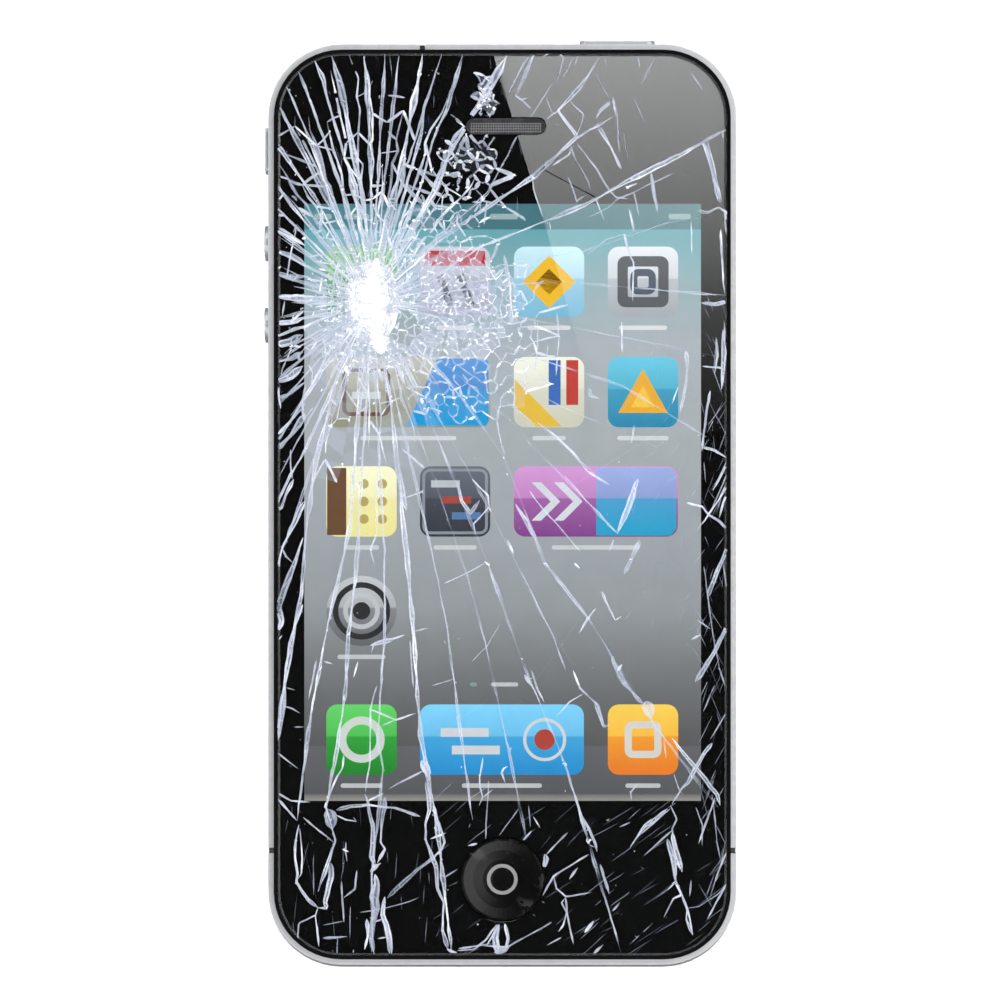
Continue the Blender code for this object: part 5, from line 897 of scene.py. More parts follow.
    (0.2, 0.8, -27.2, 25.5, -27.5, 23.5), (0.24, 0.85, -28.2, 18.8, -28, 15, -27.7, 12),
    (0.24, 0.85, -22.6, 36.9, -22.5, 35.8, -22.8, 34.4), (0.26, 0.9, -22.5, 28.5, -22.8, 26.2),
    (0.34, 0.85, -20.3, 30.7, -20.8, 28.7, -20.4, 27.2, -20, 25.6), (0.28, 0.8, -20.5, 25.6, -20.8, 23.2),
    (0.3, 0.9, -14.3, 27.2, -13.7, 25.6, -14.3, 23.6), (0.4, 0.9, -14.5, 18.4, -13.3, 17.8, -12.2, 15),
    (0.5, 0.95, -19.7, 17.4, -19.2, 16),
]


def fromImpact(distance, bearing):
    angle = np.radians(bearing)
    return impact + np.stack([distance * np.cos(angle), distance * np.sin(angle)], axis=-1)


def onGlass(points):  # which points lie on the glass, clear of its rim and its two openings
    halfX, halfY = breakPlan["glassHalf"]
    corner = breakPlan["glassCorner"]
    away = np.abs(points) - np.array([halfX - corner, halfY - corner])
    outside = np.linalg.norm(np.maximum(away, 0), axis=1) + np.minimum(np.max(away, axis=1), 0) - corner
    hx, hy, radius = breakPlan["home"]
    sx, sy, halfLength, halfHeight = breakPlan["slot"]
    slotX = np.clip(points[:, 0] - sx, -halfLength, halfLength)
    slotAway = np.hypot(points[:, 0] - sx - slotX, points[:, 1] - sy)
    return (outside < 0) & (np.hypot(points[:, 0] - hx, points[:, 1] - hy) > radius) & (slotAway > halfHeight)


def wander(count, span):  # a smooth uneven run between -1 and 1
    knots = dice.uniform(-1, 1, count // span + 3)
    return np.interp(np.arange(count) / span, np.arange(len(knots)), knots)


def sidesOf(course):  # the direction to the left of a course at each of its points
    along = np.gradient(course, axis=0)
    along /= np.maximum(np.linalg.norm(along, axis=1), 1e-9)[:, None]
    return np.column_stack([-along[:, 1], along[:, 0]])


def stepped(points, step):  # a course cut into even steps, and how far along it each point lies
    points = np.asarray(points, float)
    run = np.concatenate([[0], np.cumsum(np.linalg.norm(np.diff(points, axis=0), axis=1))])
    where = np.linspace(0, run[-1], max(3, int(run[-1] / step) + 1))
    return np.column_stack([np.interp(where, run, points[:, 0]), np.interp(where, run, points[:, 1])]), where


class StrandSheet:
    # Gathers strands of broken glass, each a low ridge on the surface, into one mesh.
    def __init__(self):
        self.points, self.cover, self.faces, self.count = [], [], [], 0

    def addRun(self, course, half, cover, lift):
        count = len(course)
        if count < 2:
            return
        side = sidesOf(course)
        low = glassTop + breakPlan["strandLift"] + lift
        rise = np.clip(half * 0.35, 0.004, 0.05)
        left = np.column_stack([course + side * half[:, None], np.full(count, low)])
        right = np.column_stack([course - side * half[:, None], np.full(count, low)])
        peak = np.column_stack([course, low + rise])
        base = self.count + np.arange(count - 1) * 3
        for a, b in ((0, 1), (1, 2)):
            self.faces.append(np.column_stack([base + a, base + b, base + b + 3, base + a + 3]))
        self.points.append(np.stack([left, peak, right], axis=1).reshape(-1, 3))
        self.cover.append(np.repeat(cover, 3))
        self.count += count * 3

    def addKept(self, course, half, cover, keep, lift):  # only the stretches of a run that are kept
        edges = np.flatnonzero(np.diff(np.concatenate([[0], keep.astype(int), [0]])))
        for start, end in zip(edges[::2], edges[1::2]):
            self.addRun(course[start:end], half[start:end], cover[start:end], lift)

    def addStrand(self, points, width, cover, jitter=0.04, rough=0.35, taper=(1.0, 1.0), gaps=0.0, step=None):
        course, where = stepped(points, step or breakPlan["step"])
        count = len(course)
        course = course + sidesOf(course) * (jitter * wander(count, 4))[:, None]
        half = width / 2 * np.clip(1 + rough * wander(count, 3), 0.3, 2.0)
        fade = np.minimum(1, (where + 0.02) / taper[0]) * np.minimum(1, (where[-1] - where + 0.02) / taper[1])
        half = np.maximum(half * np.clip(fade, 0.08, 1), 0.012)
        keep = onGlass(course)
        if gaps:
            keep &= wander(count, 6) > gaps * 2 - 1
        tones = np.clip(cover * (0.85 + 0.3 * wander(count, 4)), 0.03, 1)
        self.addKept(course, half, tones, keep, dice.uniform(0, 0.012))

    def addCrack(self, points, width, cover, spread, faint=0.2, taper=(1.2, 2.5)):
        # two bright lips that part and meet again, a dimmer strip between them, and rungs across
        course, where = stepped(points, breakPlan["step"])
        count = len(course)
        side = sidesOf(course)
        ends = np.minimum(1, (where + 0.02) / taper[0]) * np.minimum(1, (where[-1] - where + 0.02) / taper[1])
        gap = spread / 2 * np.clip(0.6 + 0.9 * wander(count, 8), 0.0, 1.4) * ends
        course = course + side * (0.05 * wander(count, 4))[:, None]
        keep = onGlass(course)
        level = np.clip(cover * (1 - faint + faint * 1.6 * wander(count, 7)), 0.05, 1)
        for lean in (-1, 1):
            lip = course + side * (lean * gap + 0.02 * wander(count, 2))[:, None]
            half = width * (0.33 if spread else 0.45) * np.clip(1 + 0.45 * wander(count, 3), 0.4, 1.8)
            half = np.maximum(half * np.clip(ends, 0.2, 1), 0.02)
            tones = level * dice.uniform(0.75, 1.0)
            self.addKept(lip, half, tones, keep & onGlass(lip), dice.uniform(0.004, 0.014))
        self.addKept(course, gap, level * 0.42, keep & (gap > 0.06), 0.0)
        for i in np.flatnonzero(keep & (gap > 0.09)):
            if dice.random() < 0.2:
                j = min(count - 1, i + int(dice.integers(0, 3)))
                self.addStrand([course[i] - side[i] * gap[i], course[j] + side[j] * gap[j]],
                               dice.uniform(0.1, 0.17), min(1, level[i]), 0, taper=(0.05, 0.05))

    def addJoint(self, spot, size, cover, turn=0.0):  # a bright knot where a crack bends or two meet
        for _ in range(3):
            self.addChip(spot + dice.normal(0, size * 0.35, 2), size * dice.uniform(0.6, 1.1), cover,
                         stretch=dice.uniform(1, 1.9), turn=turn, lift=dice.uniform(0.006, 0.02))

    def addChip(self, center, size, cover, corners=None, stretch=1.0, turn=0.0, lift=0.0):
        corners = corners or int(dice.integers(3, 6))
        angles = np.sort(dice.uniform(0, 2 * np.pi, corners))
        reach = size * dice.uniform(0.55, 1.0, corners)
        local = np.column_stack([reach * np.cos(angles) * stretch, reach * np.sin(angles)])
        c, s = np.cos(turn), np.sin(turn)
        outline = np.asarray(center) + local @ np.array([[c, s], [-s, c]])
        if not onGlass(outline).all():
            return
        low = glassTop + breakPlan["chipLift"] + lift
        rows = np.vstack([np.column_stack([outline, np.full(corners, low)]),
                          [[outline[:, 0].mean(), outline[:, 1].mean(), low + min(0.25 * size, 0.05)]]])
        base = self.count
        ring = base + np.arange(corners)
        self.faces.append(np.column_stack([ring, np.roll(ring, -1), np.full(corners, base + corners)]))
        self.points.append(rows)
        self.cover.append(np.full(corners + 1, cover))
        self.count += corners + 1

    def addCell(self, outline, cover, lift):
        outline = np.asarray(outline)
        if not onGlass(outline).all():
            return
        tilt = dice.uniform(0, 0.02, len(outline))
        self.points.append(np.column_stack([outline, glassTop + breakPlan["strandLift"] + lift + tilt]))
        self.faces.append((self.count + np.arange(len(outline)))[None, :])
        self.cover.append(np.full(len(outline), cover))
        self.count += len(outline)

    def makeMesh(self, name):
        mesh = bpy.data.meshes.new(name)
        points = np.vstack(self.points) * mm
        faces = [tuple(map(int, row)) for block in self.faces for row in block]
        mesh.from_pydata(points.tolist(), [], faces)
        mark = mesh.attributes.new("strandCover", "FLOAT", "POINT")
        mark.data.foreach_set("value", np.concatenate(self.cover).astype(np.float32))
        mesh.update()
        builder = bmesh.new()
        builder.from_mesh(mesh)
        for face in builder.faces:
            if face.normal.z < 0:
                face.normal_flip()
        builder.to_mesh(mesh)
        builder.free()
        return mesh


def laySheet(name, sheet):
    return addPiece(name, sheet.makeMesh(name), looks["crackWhite"])


def makeLongCracks():
    sheet = StrandSheet()
    for width, cover, spread, readings in longCracks:
        bearing = readings[len(readings) // 2][1]
        start, end = breakPlan["dim"]
        dim = bearing > start or bearing < end
        course = [fromImpact(*reading) for reading in readings]
        sheet.addCrack(course, width, cover * (0.75 if dim else 1.0), spread, 0.5 if dim else 0.2)
        for spot in course[1:-1]:
            if dice.random() < 0.7:
                sheet.addJoint(spot, dice.uniform(0.14, 0.30), cover, np.radians(bearing))
        spots, _ = stepped(course, 0.5)
        for spot in spots:
            if dice.random() < (0.12 if dim else 0.22):
                sheet.addChip(spot + dice.normal(0, 0.2, 2), dice.uniform(0.06, 0.18),
                              cover * dice.uniform(0.5, 1.0), stretch=dice.uniform(1, 2.2),
                              turn=np.radians(bearing))
    return laySheet("longCracks", sheet)


def makeShortCracks():
    sheet = StrandSheet()
    for width, cover, *places in shortCracks:
        points = list(zip(places[::2], places[1::2]))
        if width >= 0.24 and len(points) > 2:
            sheet.addCrack(points, width * 1.1, cover, width * 1.3, taper=(0.5, 0.8))
        else:
            sheet.addStrand(points, width, cover, jitter=0.04, taper=(0.5, 0.8))
        for spot in points[1:-1]:
            if dice.random() < 0.5:
                sheet.addJoint(np.array(spot), dice.uniform(0.08, 0.15), cover)
    return laySheet("shortCracks", sheet)


# The web round the impact: spokes and rings of an uneven net. Reach: bearing, mm; veil: bearing and
# how much the cells between the strands hide.
webPlan = {
    "spoke": 5.0, "first": 3.0, "step": 0.75, "growth": 0.075, "last": 30,
    "calm": (298, 346, 4),   # beside the heap: from and to in degrees, and the rings left out
    "reach": [(0, 7.5), (25, 12.0), (50, 20.0), (75, 25.0), (110, 24.0), (135, 14.0), (180, 10.0),
              (225, 15.0), (250, 21.0), (285, 17.0), (310, 12.5), (335, 8.0), (360, 7.5)],
    "veil": [(0, 0.18), (40, 0.14), (70, 0.1), (110, 0.1), (150, 0.1), (190, 0.22), (235, 0.26), (280, 0.22),
             (320, 0.1), (360, 0.18)],
}


def readPlan(pairs, bearing):
    return np.interp(bearing % 360, [a for a, _ in pairs], [b for _, b in pairs])


def makeWeb():
    strands, cells = StrandSheet(), StrandSheet()
    count = int(360 / webPlan["spoke"])
    distances = [webPlan["first"]]
    while distances[-1] < webPlan["last"]:
        distances.append(distances[-1] * (1 + webPlan["growth"]) + webPlan["step"])
    base = 360 / count * (np.arange(count) + dice.normal(0, 0.22, count))
    spots = []
    for distance in distances:
        ring = webPlan["step"] + webPlan["growth"] * distance
        spots.append(fromImpact(distance + ring * dice.uniform(-0.4, 0.4, count),
                                base + 360 / count * dice.normal(0, 0.13, count)))
    spots = np.array(spots)
    for j in range(count):
        reach = readPlan(webPlan["reach"], base[j])
        veil = readPlan(webPlan["veil"], base[j])
        last = int(np.searchsorted(distances, reach * dice.uniform(0.55, 1.2)))
        start, end, skipped = webPlan["calm"]
        first = skipped if start < base[j] % 360 < end else 0
        if last > first + 1:
            width, cover = dice.uniform(0.16, 0.30), dice.uniform(0.5, 1.0)
            course = spots[first:last + 1, j]
            if dice.random() < 0.4:
                strands.addCrack(course, width * 1.2, cover, dice.uniform(0.2, 0.42), taper=(0.5, 3.0))
            else:
                strands.addStrand(course, width, cover, jitter=0.03, taper=(0.5, 3.0), gaps=0.08)
        beside = (j + 1) % count
        for k, distance in enumerate(distances[:-1]):
            share = distance / reach
            if share > 1.15:
                break
            if k < first:
                continue
            if dice.random() < 0.72 - 0.5 * share:
                ahead = min(len(distances) - 1, k + int(dice.random() < 0.35))
                middle = (spots[k, j] + spots[ahead, beside]) / 2 + dice.normal(0, 0.05, 2)
                strands.addStrand([spots[k, j], middle, spots[ahead, beside]], dice.uniform(0.15, 0.32),
                                  dice.uniform(0.6, 1.0), jitter=0.02, taper=(0.05, 0.05))
            if dice.random() < 0.3 - 0.2 * share:
                strands.addJoint(spots[k, j], dice.uniform(0.12, 0.26), 1.0, np.radians(base[j]))
            tone = veil * dice.beta(1.3, 1.6) * 2 * np.clip(1.25 - share, 0, 1)
            corners = [spots[k, j], spots[k + 1, j], spots[k + 1, beside], spots[k, beside]]
            edgeX, edgeY = breakPlan["litEdge"]
            overScreen = min(c[0] for c in corners) > edgeX and max(c[1] for c in corners) < edgeY
            if tone > 0.05 and overScreen:
                cells.addCell(corners, min(tone, 0.85), dice.uniform(0, 0.004))
    laySheet("webCells", cells)
    return laySheet("webStrands", strands)


# Where the glass is crushed to small grains: middle, half width and half height in mm, grain size,
# and how much the grains hide. The first that a place lies in counts.
crushPlan = [
    (-12.3, 22.2, 2.4, 2.2, 1.3, 0.0), (-4.4, 22.6, 4.8, 3.8, 0.86, 0.26), (-20.3, 24.4, 2.9, 6.2, 0.95, 0.1),
    (-16.8, 18.3, 6.0, 2.2, 0.9, 0.18), (-14.8, 31.3, 4.4, 2.0, 1.0, 0.12), (-5.6, 14.0, 4.9, 4.3, 1.5, 0.05),
    (-6.0, 25.2, 7.9, 6.6, 1.05, 0.24), (1.8, 21.0, 3.4, 10.0, 1.9, 0.06), (-2.0, 50.4, 1.4, 4.0, 0.85, 0.1),
    (-4.2, 43.8, 4.4, 2.1, 1.2, 0.03), (-5.2, 39.2, 5.0, 3.0, 1.8, 0.0), (-8.0, 34.6, 6.0, 3.4, 1.6, 0.02),
]
# Places tried, the box they fall in, and the height above which the net is thicker, by how much.
crushTries = {"count": 14000, "low": (-23.5, 9.0), "high": (5.5, 54.5), "thickAbove": 37, "thicker": 1.5}


def makeCrushedZone():
    kept, sizes, hides = [], [], []
    for spot in dice.uniform(crushTries["low"], crushTries["high"], (crushTries["count"], 2)):
        for x, y, halfX, halfY, size, hide in crushPlan:
            if ((spot[0] - x) / halfX) ** 2 + ((spot[1] - y) / halfY) ** 2 < 1:
                break
        else:
            continue
        if kept and np.hypot(*(np.array(kept) - spot).T).min() < size * 0.6:
            continue
        kept.append(spot)
        sizes.append(size)
        hides.append(hide)
    corners = delaunay_2d_cdt([Vector(spot) for spot in kept], [], [], 0, 1e-6)[2]
    middles, around, shared = [], {}, {}
    for index, (a, b, c) in enumerate(corners):
        p, q, r = kept[a], kept[b], kept[c]
        twice = 2 * (p[0] * (q[1] - r[1]) + q[0] * (r[1] - p[1]) + r[0] * (p[1] - q[1]))
        squares = [p @ p, q @ q, r @ r]
        middles.append(np.array([
            (squares[0] * (q[1] - r[1]) + squares[1] * (r[1] - p[1]) + squares[2] * (p[1] - q[1])) / twice,
            (squares[0] * (r[0] - q[0]) + squares[1] * (p[0] - r[0]) + squares[2] * (q[0] - p[0])) / twice,
        ]))
        for corner in (a, b, c):
            around.setdefault(corner, []).append(index)
        for pair in ((a, b), (b, c), (c, a)):
            shared.setdefault(tuple(sorted(pair)), []).append(index)
    cells, strands = StrandSheet(), StrandSheet()
    for corner, ring in around.items():
        spot, size = kept[corner], sizes[corner]
        ring = sorted(ring, key=lambda i: math.atan2(middles[i][1] - spot[1], middles[i][0] - spot[0]))
        if len(ring) > 2 and max(np.linalg.norm(middles[i] - spot) for i in ring) < 1.6 * size:
            cells.addCell([middles[i] for i in ring], min(0.9, hides[corner] * dice.uniform(0.35, 1.6)),
                          dice.uniform(0.004, 0.008))
    for (a, b), pair in shared.items():
        size = min(sizes[a], sizes[b])
        if len(pair) < 2 or dice.random() < 0.22:
            continue
        start, end = middles[pair[0]], middles[pair[1]]
        if 0.05 < np.linalg.norm(end - start) < 2.2 * size:
            bend = (start + end) / 2 + dice.normal(0, 0.07, 2)
            thicker = crushTries["thicker"] if start[1] > crushTries["thickAbove"] else 1
            width = dice.uniform(0.12, 0.36) * thicker
            strands.addStrand([start, bend, end], width, dice.uniform(0.4, 1.0), jitter=0.03,
                              taper=(0.05, 0.05))
            if dice.random() < 0.25:
                strands.addJoint(start, dice.uniform(0.12, 0.26), 1.0)
    laySheet("crushedCells", cells)
    return laySheet("crushedStrands", strands)


# The white heap on the point of impact: height above the phone's middle, its middle and half width, from
# the bottom up.
corePlan = [
    (19.1, -15.3, 0.3), (19.8, -15.4, 0.9), (20.6, -15.5, 1.1), (22.0, -15.7, 0.95), (23.6, -15.8, 0.95),
    (25.2, -16.0, 1.3), (26.6, -16.1, 1.5), (28.0, -16.1, 1.3), (29.4, -15.8, 0.9), (30.6, -15.6, 0.2),
]
grainCounts = {"heap": 1100, "thrown": 420, "flecks": 200}


def makeWhiteCore():  # powdered glass heaped on the point of impact
    sheet = StrandSheet()
    heights, middles, halves = zip(*corePlan)
    for _ in range(grainCounts["heap"]):
        y = dice.uniform(heights[0], heights[-1])
        middle, half = np.interp(y, heights, middles), np.interp(y, heights, halves)
        aside = dice.normal(0, 0.6)
        if abs(aside) < 1.35:
            size = dice.uniform(0.2, 0.46) * (1.25 - 0.6 * abs(aside))
            sheet.addChip([middle + aside * half, y], size, 1.0, lift=dice.uniform(0.015, 0.06))
    for _ in range(grainCounts["thrown"]):  # grains thrown round the heap
        spot = impact + np.array([dice.normal(-0.4, 2.4), dice.normal(-0.3, 4.2)])
        sheet.addChip(spot, dice.uniform(0.10, 0.30), dice.uniform(0.6, 1.0), lift=dice.uniform(0.01, 0.03))
    return laySheet("powderedGlass", sheet)


# Faint streaks: how many, where (x and y ranges), their lean in degrees and its spread, half length, cover.
streakPlan = [
    (80, (-8, 28), (-56, -36), 38, 6, (0.8, 2.6), (0.08, 0.36)),
    (26, (-27, -8), (-55, -38), 88, 7, (0.6, 2.0), (0.08, 0.30)),
    (48, (24.8, 28), (-50, 12), 66, 8, (0.7, 2.4), (0.12, 0.50)),
    (34, (24.8, 28), (-50, 30), 112, 8, (0.7, 2.4), (0.10, 0.40)),
    (90, (15.5, 25), (-16, 22), 62, 14, (0.4, 1.4), (0.08, 0.32)),
    (60, (-27, 27), (37, 56), 100, 35, (0.3, 1.2), (0.10, 0.45)),
]


def makeHairlines():
    sheet = StrandSheet()
    for count, (x0, x1), (y0, y1), lean, drift, reach, cover in streakPlan:
        for _ in range(count):
            spot = np.array([dice.uniform(x0, x1), dice.uniform(y0, y1)])
            turn = np.radians(dice.normal(lean, drift))
            half = np.array([np.cos(turn), np.sin(turn)]) * dice.uniform(*reach)
            sheet.addStrand([spot - half, spot + half], dice.uniform(0.07, 0.12), dice.uniform(*cover), 0.03,
                            gaps=0.2)
    for _ in range(grainCounts["flecks"]):  # loose flecks
        spot = np.array([dice.uniform(-28, 28), dice.uniform(-56, 56)])
        sheet.addChip(spot, dice.uniform(0.06, 0.16), dice.uniform(0.4, 1.0))
    return laySheet("hairlines", sheet)


makeLongCracks()
makeShortCracks()
makeWeb()
makeCrushedZone()
makeWhiteCore()
makeHairlines()
print("cracks laid")


# Small parts
# shade and end: the wires stop this far short of the slot's top edge and of its ends, so the black backing
# shows there as painted shade of the recess
weavePlan = {"pitch": 0.30, "wire": 0.055, "wave": 0.05, "shade": 0.6, "end": 0.5}


def makeEarpieceWeave():
    low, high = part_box("earpiece_mesh")
    builder = bmesh.new()
    x0, x1, y0, y1 = low[0] / mm, high[0] / mm, low[1] / mm, high[1] / mm
    top = high[2] / mm - weavePlan["wire"] - weavePlan["wave"]
    pitch = weavePlan["pitch"]
    count = int((x1 - x0) / pitch)
    radius = (y1 - y0) / 2
    for i in range(1, count):
        x = x0 + (x1 - x0) * i / count
        inset = max(0, radius - min(x - x0, x1 - x))
        half = math.sqrt(max(radius ** 2 - inset ** 2, 0)) - 0.08
        if half < 0.45 or min(x - x0, x1 - x) < weavePlan["end"]:
            continue
        points = []
        foot = (y0 + y1) / 2 - half
        reach = min((y0 + y1) / 2 + half, y1 - weavePlan["shade"]) - foot
        for k in range(13):
            y = foot + reach * k / 12
            z = top + weavePlan["wave"] * math.cos(math.pi * (y - y0) / pitch) * (1 if i % 2 else -1)
            points.append((x * mm, y * mm, z * mm))
        addTube(builder, points, weavePlan["wire"] * mm, 5)
    rows = int((y1 - y0) / pitch)
    for j in range(1, rows):
        y = y0 + (y1 - y0) * j / rows
        inset = abs(y - (y0 + y1) / 2)
        trim = max(weavePlan["end"], radius - math.sqrt(max(radius ** 2 - inset ** 2, 0)) + 0.08)
        if y > y1 - weavePlan["shade"]:
            continue
        points = []
        steps = 2 * count
        for k in range(steps + 1):
            x = x0 + trim + (x1 - x0 - 2 * trim) * k / steps
            z = top - weavePlan["wave"] * math.cos(math.pi * (x - x0) / pitch) * (1 if j % 2 else -1)
            points.append((x * mm, y * mm, z * mm))
        addTube(builder, points, weavePlan["wire"] * mm, 5)
    # a black backing under the wires; along the top edge and the ends, where no wires lie, it stands in as
    # painted shade
    backing = (top - weavePlan["wire"] - weavePlan["wave"] - 0.02)
    outline = roundedOutline((x0 + x1) / 2, (y0 + y1) / 2, x1 - x0, y1 - y0, radius * 0.98, 8)
    addPrism(builder, outline, low[2] / mm, backing, 1)
    weave = addPiece("earpieceWeave", meshFromBuilder("earpieceWeave", builder),
                     [looks["meshMetal"], looks["blackPlastic"]])
    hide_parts("earpiece_mesh")
    return weave


homeMark = {"radius": 1.95, "line": 0.5, "proud": 0.015}


def makeHomeMark():
    cx, cy, _ = boxMiddle("home_button")
    surface = surfaceOf("home_button")
    builder = bmesh.new()
    steps = 64
    rows = []
    for radius, sink in ((homeMark["radius"], 0.02), (homeMark["radius"] - 0.04, -homeMark["proud"]),
                         (homeMark["radius"] - homeMark["line"] + 0.04, -homeMark["proud"]),
                         (homeMark["radius"] - homeMark["line"], 0.02)):
        row = []
        for k in range(steps):
            angle = 2 * math.pi * k / steps
            x, y = cx + radius * mm * math.cos(angle), cy + radius * mm * math.sin(angle)
            hit = surface.ray_cast(Vector((x, y, 0.02)), Vector((0, 0, -1)))[0]
            row.append(builder.verts.new((x, y, hit.z - sink * mm)))
        rows.append(row)
    closeRings(builder, rows)
    return addPiece("homeMark", meshFromBuilder("homeMark", builder), looks["ringGrey"], "home_button")


def makeVolumeMarks():  # a raised plus and minus on the round buttons
    made = []
    for node, plus in (("volume_up_button", True), ("volume_down_button", False)):
        low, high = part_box(node)
        cy, cz = (low[1] + high[1]) / 2, (low[2] + high[2]) / 2
        face = low[0]
        builder = bmesh.new()
        shapes = [(1.5, 0.28)] + ([(0.28, 1.5)] if plus else [])
        for wide, tall in shapes:
            corners = rectangle(-wide / 2, -tall / 2, wide / 2, tall / 2)
            outer = [builder.verts.new((face - 0.00001, cy + y * mm, cz + z * mm)) for y, z in corners]
            inner = [builder.verts.new((face + 0.00004, cy + y * mm, cz + z * mm)) for y, z in corners]
            builder.faces.new(outer)
            builder.faces.new(inner[::-1])
            for i in range(4):
                j = (i + 1) % 4
                builder.faces.new((outer[i], outer[j], inner[j], inner[i]))
        name = "volumePlus" if plus else "volumeMinus"
        made.append(addPiece(name, meshFromBuilder(name, builder), looks["markGrey"], node))
    return made


makeEarpieceWeave()
makeHomeMark()
makeVolumeMarks()
print("small parts made")


# Stage, light and camera
stage = {
    "size": 3.0, "floor": (0.90, 0.90, 0.90), "mirrored": (0.30, 0.30, 0.30), "lift": 0.06,
    "dome": 1.45, "domeDiffuse": 0.1,
    "horizon": (0.15, 0.6),   # how bright the sky is low down, and the height where it is full
    "cap": 0.03, "capTilt": 12.0, "capInner": 17.0, "capOuter": 27.0,
    "key": 45.0, "keySize": 0.035, "keyLean": 3.6, "keyDistance": 2.0,
}


def addStageObject(name, corners):  # one flat face through points in metres
    builder = bmesh.new()
    builder.faces.new([builder.verts.new(corner) for corner in corners])
    mesh = bpy.data.meshes.new(name)
    builder.to_mesh(mesh)
    builder.free()
    flat = bpy.data.objects.new(name, mesh)
    bpy.context.scene.collection.objects.link(flat)
    return flat


def makeFloor():
    half = stage["size"]
    floor = addStageObject("floor", [(x, y, 0) for x, y in rectangle(-half, -half, half, half)])
    made, tree, shader = startMaterial("floorWhite")
    path = addNode(tree, "ShaderNodeLightPath")
    # the band's sides mirror a darker floor
    color = mixColors(tree, path.outputs["Is Glossy Ray"], (*stage["floor"], 1), (*stage["mirrored"], 1))
    seen = doMath(tree, "MAXIMUM", path.outputs["Is Camera Ray"], path.outputs["Is Transmission Ray"])
    setInputs(tree, shader, {"Base Color": color, "Roughness": 1.0, "Specular IOR Level": 0.0,
                             "Emission Color": (1, 1, 1, 1),
                             "Emission Strength": doMath(tree, "MULTIPLY", seen, stage["lift"])})
    floor.data.materials.append(made)
    return floor


def makeDome():  # a soft white sky with a dark cap overhead, so that flat black glass stays black
    world = bpy.data.worlds.new("studio")
    bpy.context.scene.world = world
    world.use_nodes = True
    tree = world.node_tree
    sky = tree.nodes["Background"]
    place = addNode(tree, "ShaderNodeTexCoord").outputs["Generated"]
    tilt = math.radians(stage["capTilt"])
    aim = addNode(tree, "ShaderNodeVectorMath", {0: place, 1: (-math.sin(tilt), 0.0, math.cos(tilt))},
                  operation="DOT_PRODUCT")
    angle = doMath(tree, "ARCCOSINE", aim.outputs["Value"])
    cap = remap(tree, angle, stage["cap"], stage["dome"], math.radians(stage["capInner"]),
                math.radians(stage["capOuter"]), "SMOOTHSTEP")
    low, height = stage["horizon"]
    rise = addNode(tree, "ShaderNodeSeparateXYZ", {"Vector": place}).outputs["Z"]
    seen = doMath(tree, "MULTIPLY", cap, remap(tree, rise, low, 1.0, 0.0, height))
    path = addNode(tree, "ShaderNodeLightPath")
    spread = remap(tree, path.outputs["Is Diffuse Ray"], 1.0, stage["domeDiffuse"])
    level = doMath(tree, "MULTIPLY", seen, spread)
    shown = doMath(tree, "MAXIMUM", level, path.outputs["Is Camera Ray"])
    setInputs(tree, sky, {"Strength": shown, "Color": (1, 1, 1, 1)})


def makeKeyLight():  # nearly overhead, so that only the bottom edge throws a thin shadow
    data = bpy.data.lights.new("keyLight", "AREA")
    data.shape = "SQUARE"
    data.size = stage["keySize"]
    data.energy = stage["key"]
    light = bpy.data.objects.new("keyLight", data)
    bpy.context.scene.collection.objects.link(light)
    lean = math.radians(stage["keyLean"])
    spot = Vector((0, math.sin(lean), math.cos(lean))) * stage["keyDistance"]
    light.location = spot
    light.rotation_euler = (-spot).to_track_quat("-Z", "Y").to_euler()
    light.visible_glossy = False
    light.visible_transmission = False
    return light


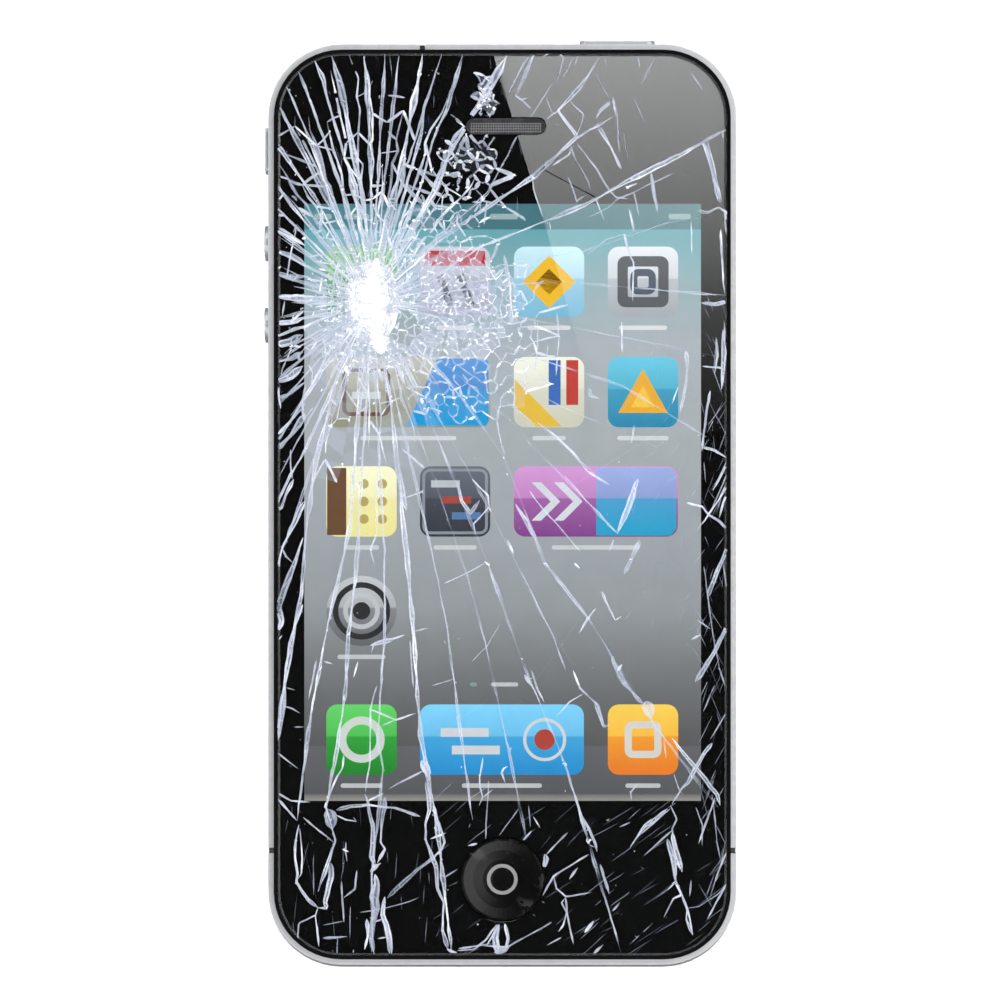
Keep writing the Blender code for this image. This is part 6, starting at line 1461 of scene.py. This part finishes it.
# The bright panel seen only as a reflection in the glass, upper right. Its outline is given as it
# shows on the glass and stretched about the camera's axis to the panel's height.
panelPlan = {"height": 300.0,
             "outline": [(-1.66, 58.0), (5.5, 34.5), (10.0, 18.0), (12.0, 8.0), (30.0, 8.0), (30.0, 58.0)],
             "levels": [(8.0, 0.0), (18.0, 0.35), (27.0, 0.9), (36.0, 1.9), (48.0, 3.2), (58.0, 4.4)]}
cameraPlan = {"lens": 300, "sensor": 36, "x": -0.22, "y": 0.50, "distance": 1044.0, "level": 7.6}


def makeReflectedPanel():
    height = panelPlan["height"]
    grow = 1 + (height - (glassTop - cameraPlan["level"])) / cameraPlan["distance"]
    cx, cy = cameraPlan["x"], cameraPlan["y"]
    outline = [((cx + (x - cx) * grow) * mm, (cy + (y - cy) * grow) * mm, (glassTop + height) * mm)
               for x, y in panelPlan["outline"]]
    panel = addStageObject("reflectedPanel", outline[::-1])
    made, tree, shader = startMaterial("panelLight")
    place = addNode(tree, "ShaderNodeTexCoord").outputs["Object"]
    split = addNode(tree, "ShaderNodeSeparateXYZ", {"Vector": place})
    low, high = panelPlan["levels"][0][0], panelPlan["levels"][-1][0]
    start, end = ((cy + (spot - cy) * grow) * mm for spot in (low, high))
    share = remap(tree, split.outputs["Y"], 0.0, 1.0, start, end)
    ramp = addNode(tree, "ShaderNodeValToRGB", {"Fac": share})
    top = panelPlan["levels"][-1][1]
    fillRamp(ramp, [((spot - low) / (high - low), (level / top, level / top, level / top, 1))
                    for spot, level in panelPlan["levels"]])
    setInputs(tree, shader, {"Emission Color": ramp.outputs["Color"], "Emission Strength": top,
                             "Base Color": (0, 0, 0, 1)})
    panel.data.materials.append(made)
    panel.visible_camera = False
    panel.visible_diffuse = False
    panel.visible_shadow = False
    return panel


def makeCamera():
    data = bpy.data.cameras.new("camera")
    data.lens = cameraPlan["lens"]
    data.sensor_width = cameraPlan["sensor"]
    data.clip_start = 0.01
    data.clip_end = 20.0
    camera = bpy.data.objects.new("camera", data)
    bpy.context.scene.collection.objects.link(camera)
    height = cameraPlan["level"] + cameraPlan["distance"]
    camera.location = (cameraPlan["x"] * mm, cameraPlan["y"] * mm, height * mm)
    bpy.context.scene.camera = camera


makeFloor()
makeReflectedPanel()
makeDome()
makeKeyLight()
makeCamera()
bpy.context.scene.view_settings.view_transform = "Standard"
print("stage ready")
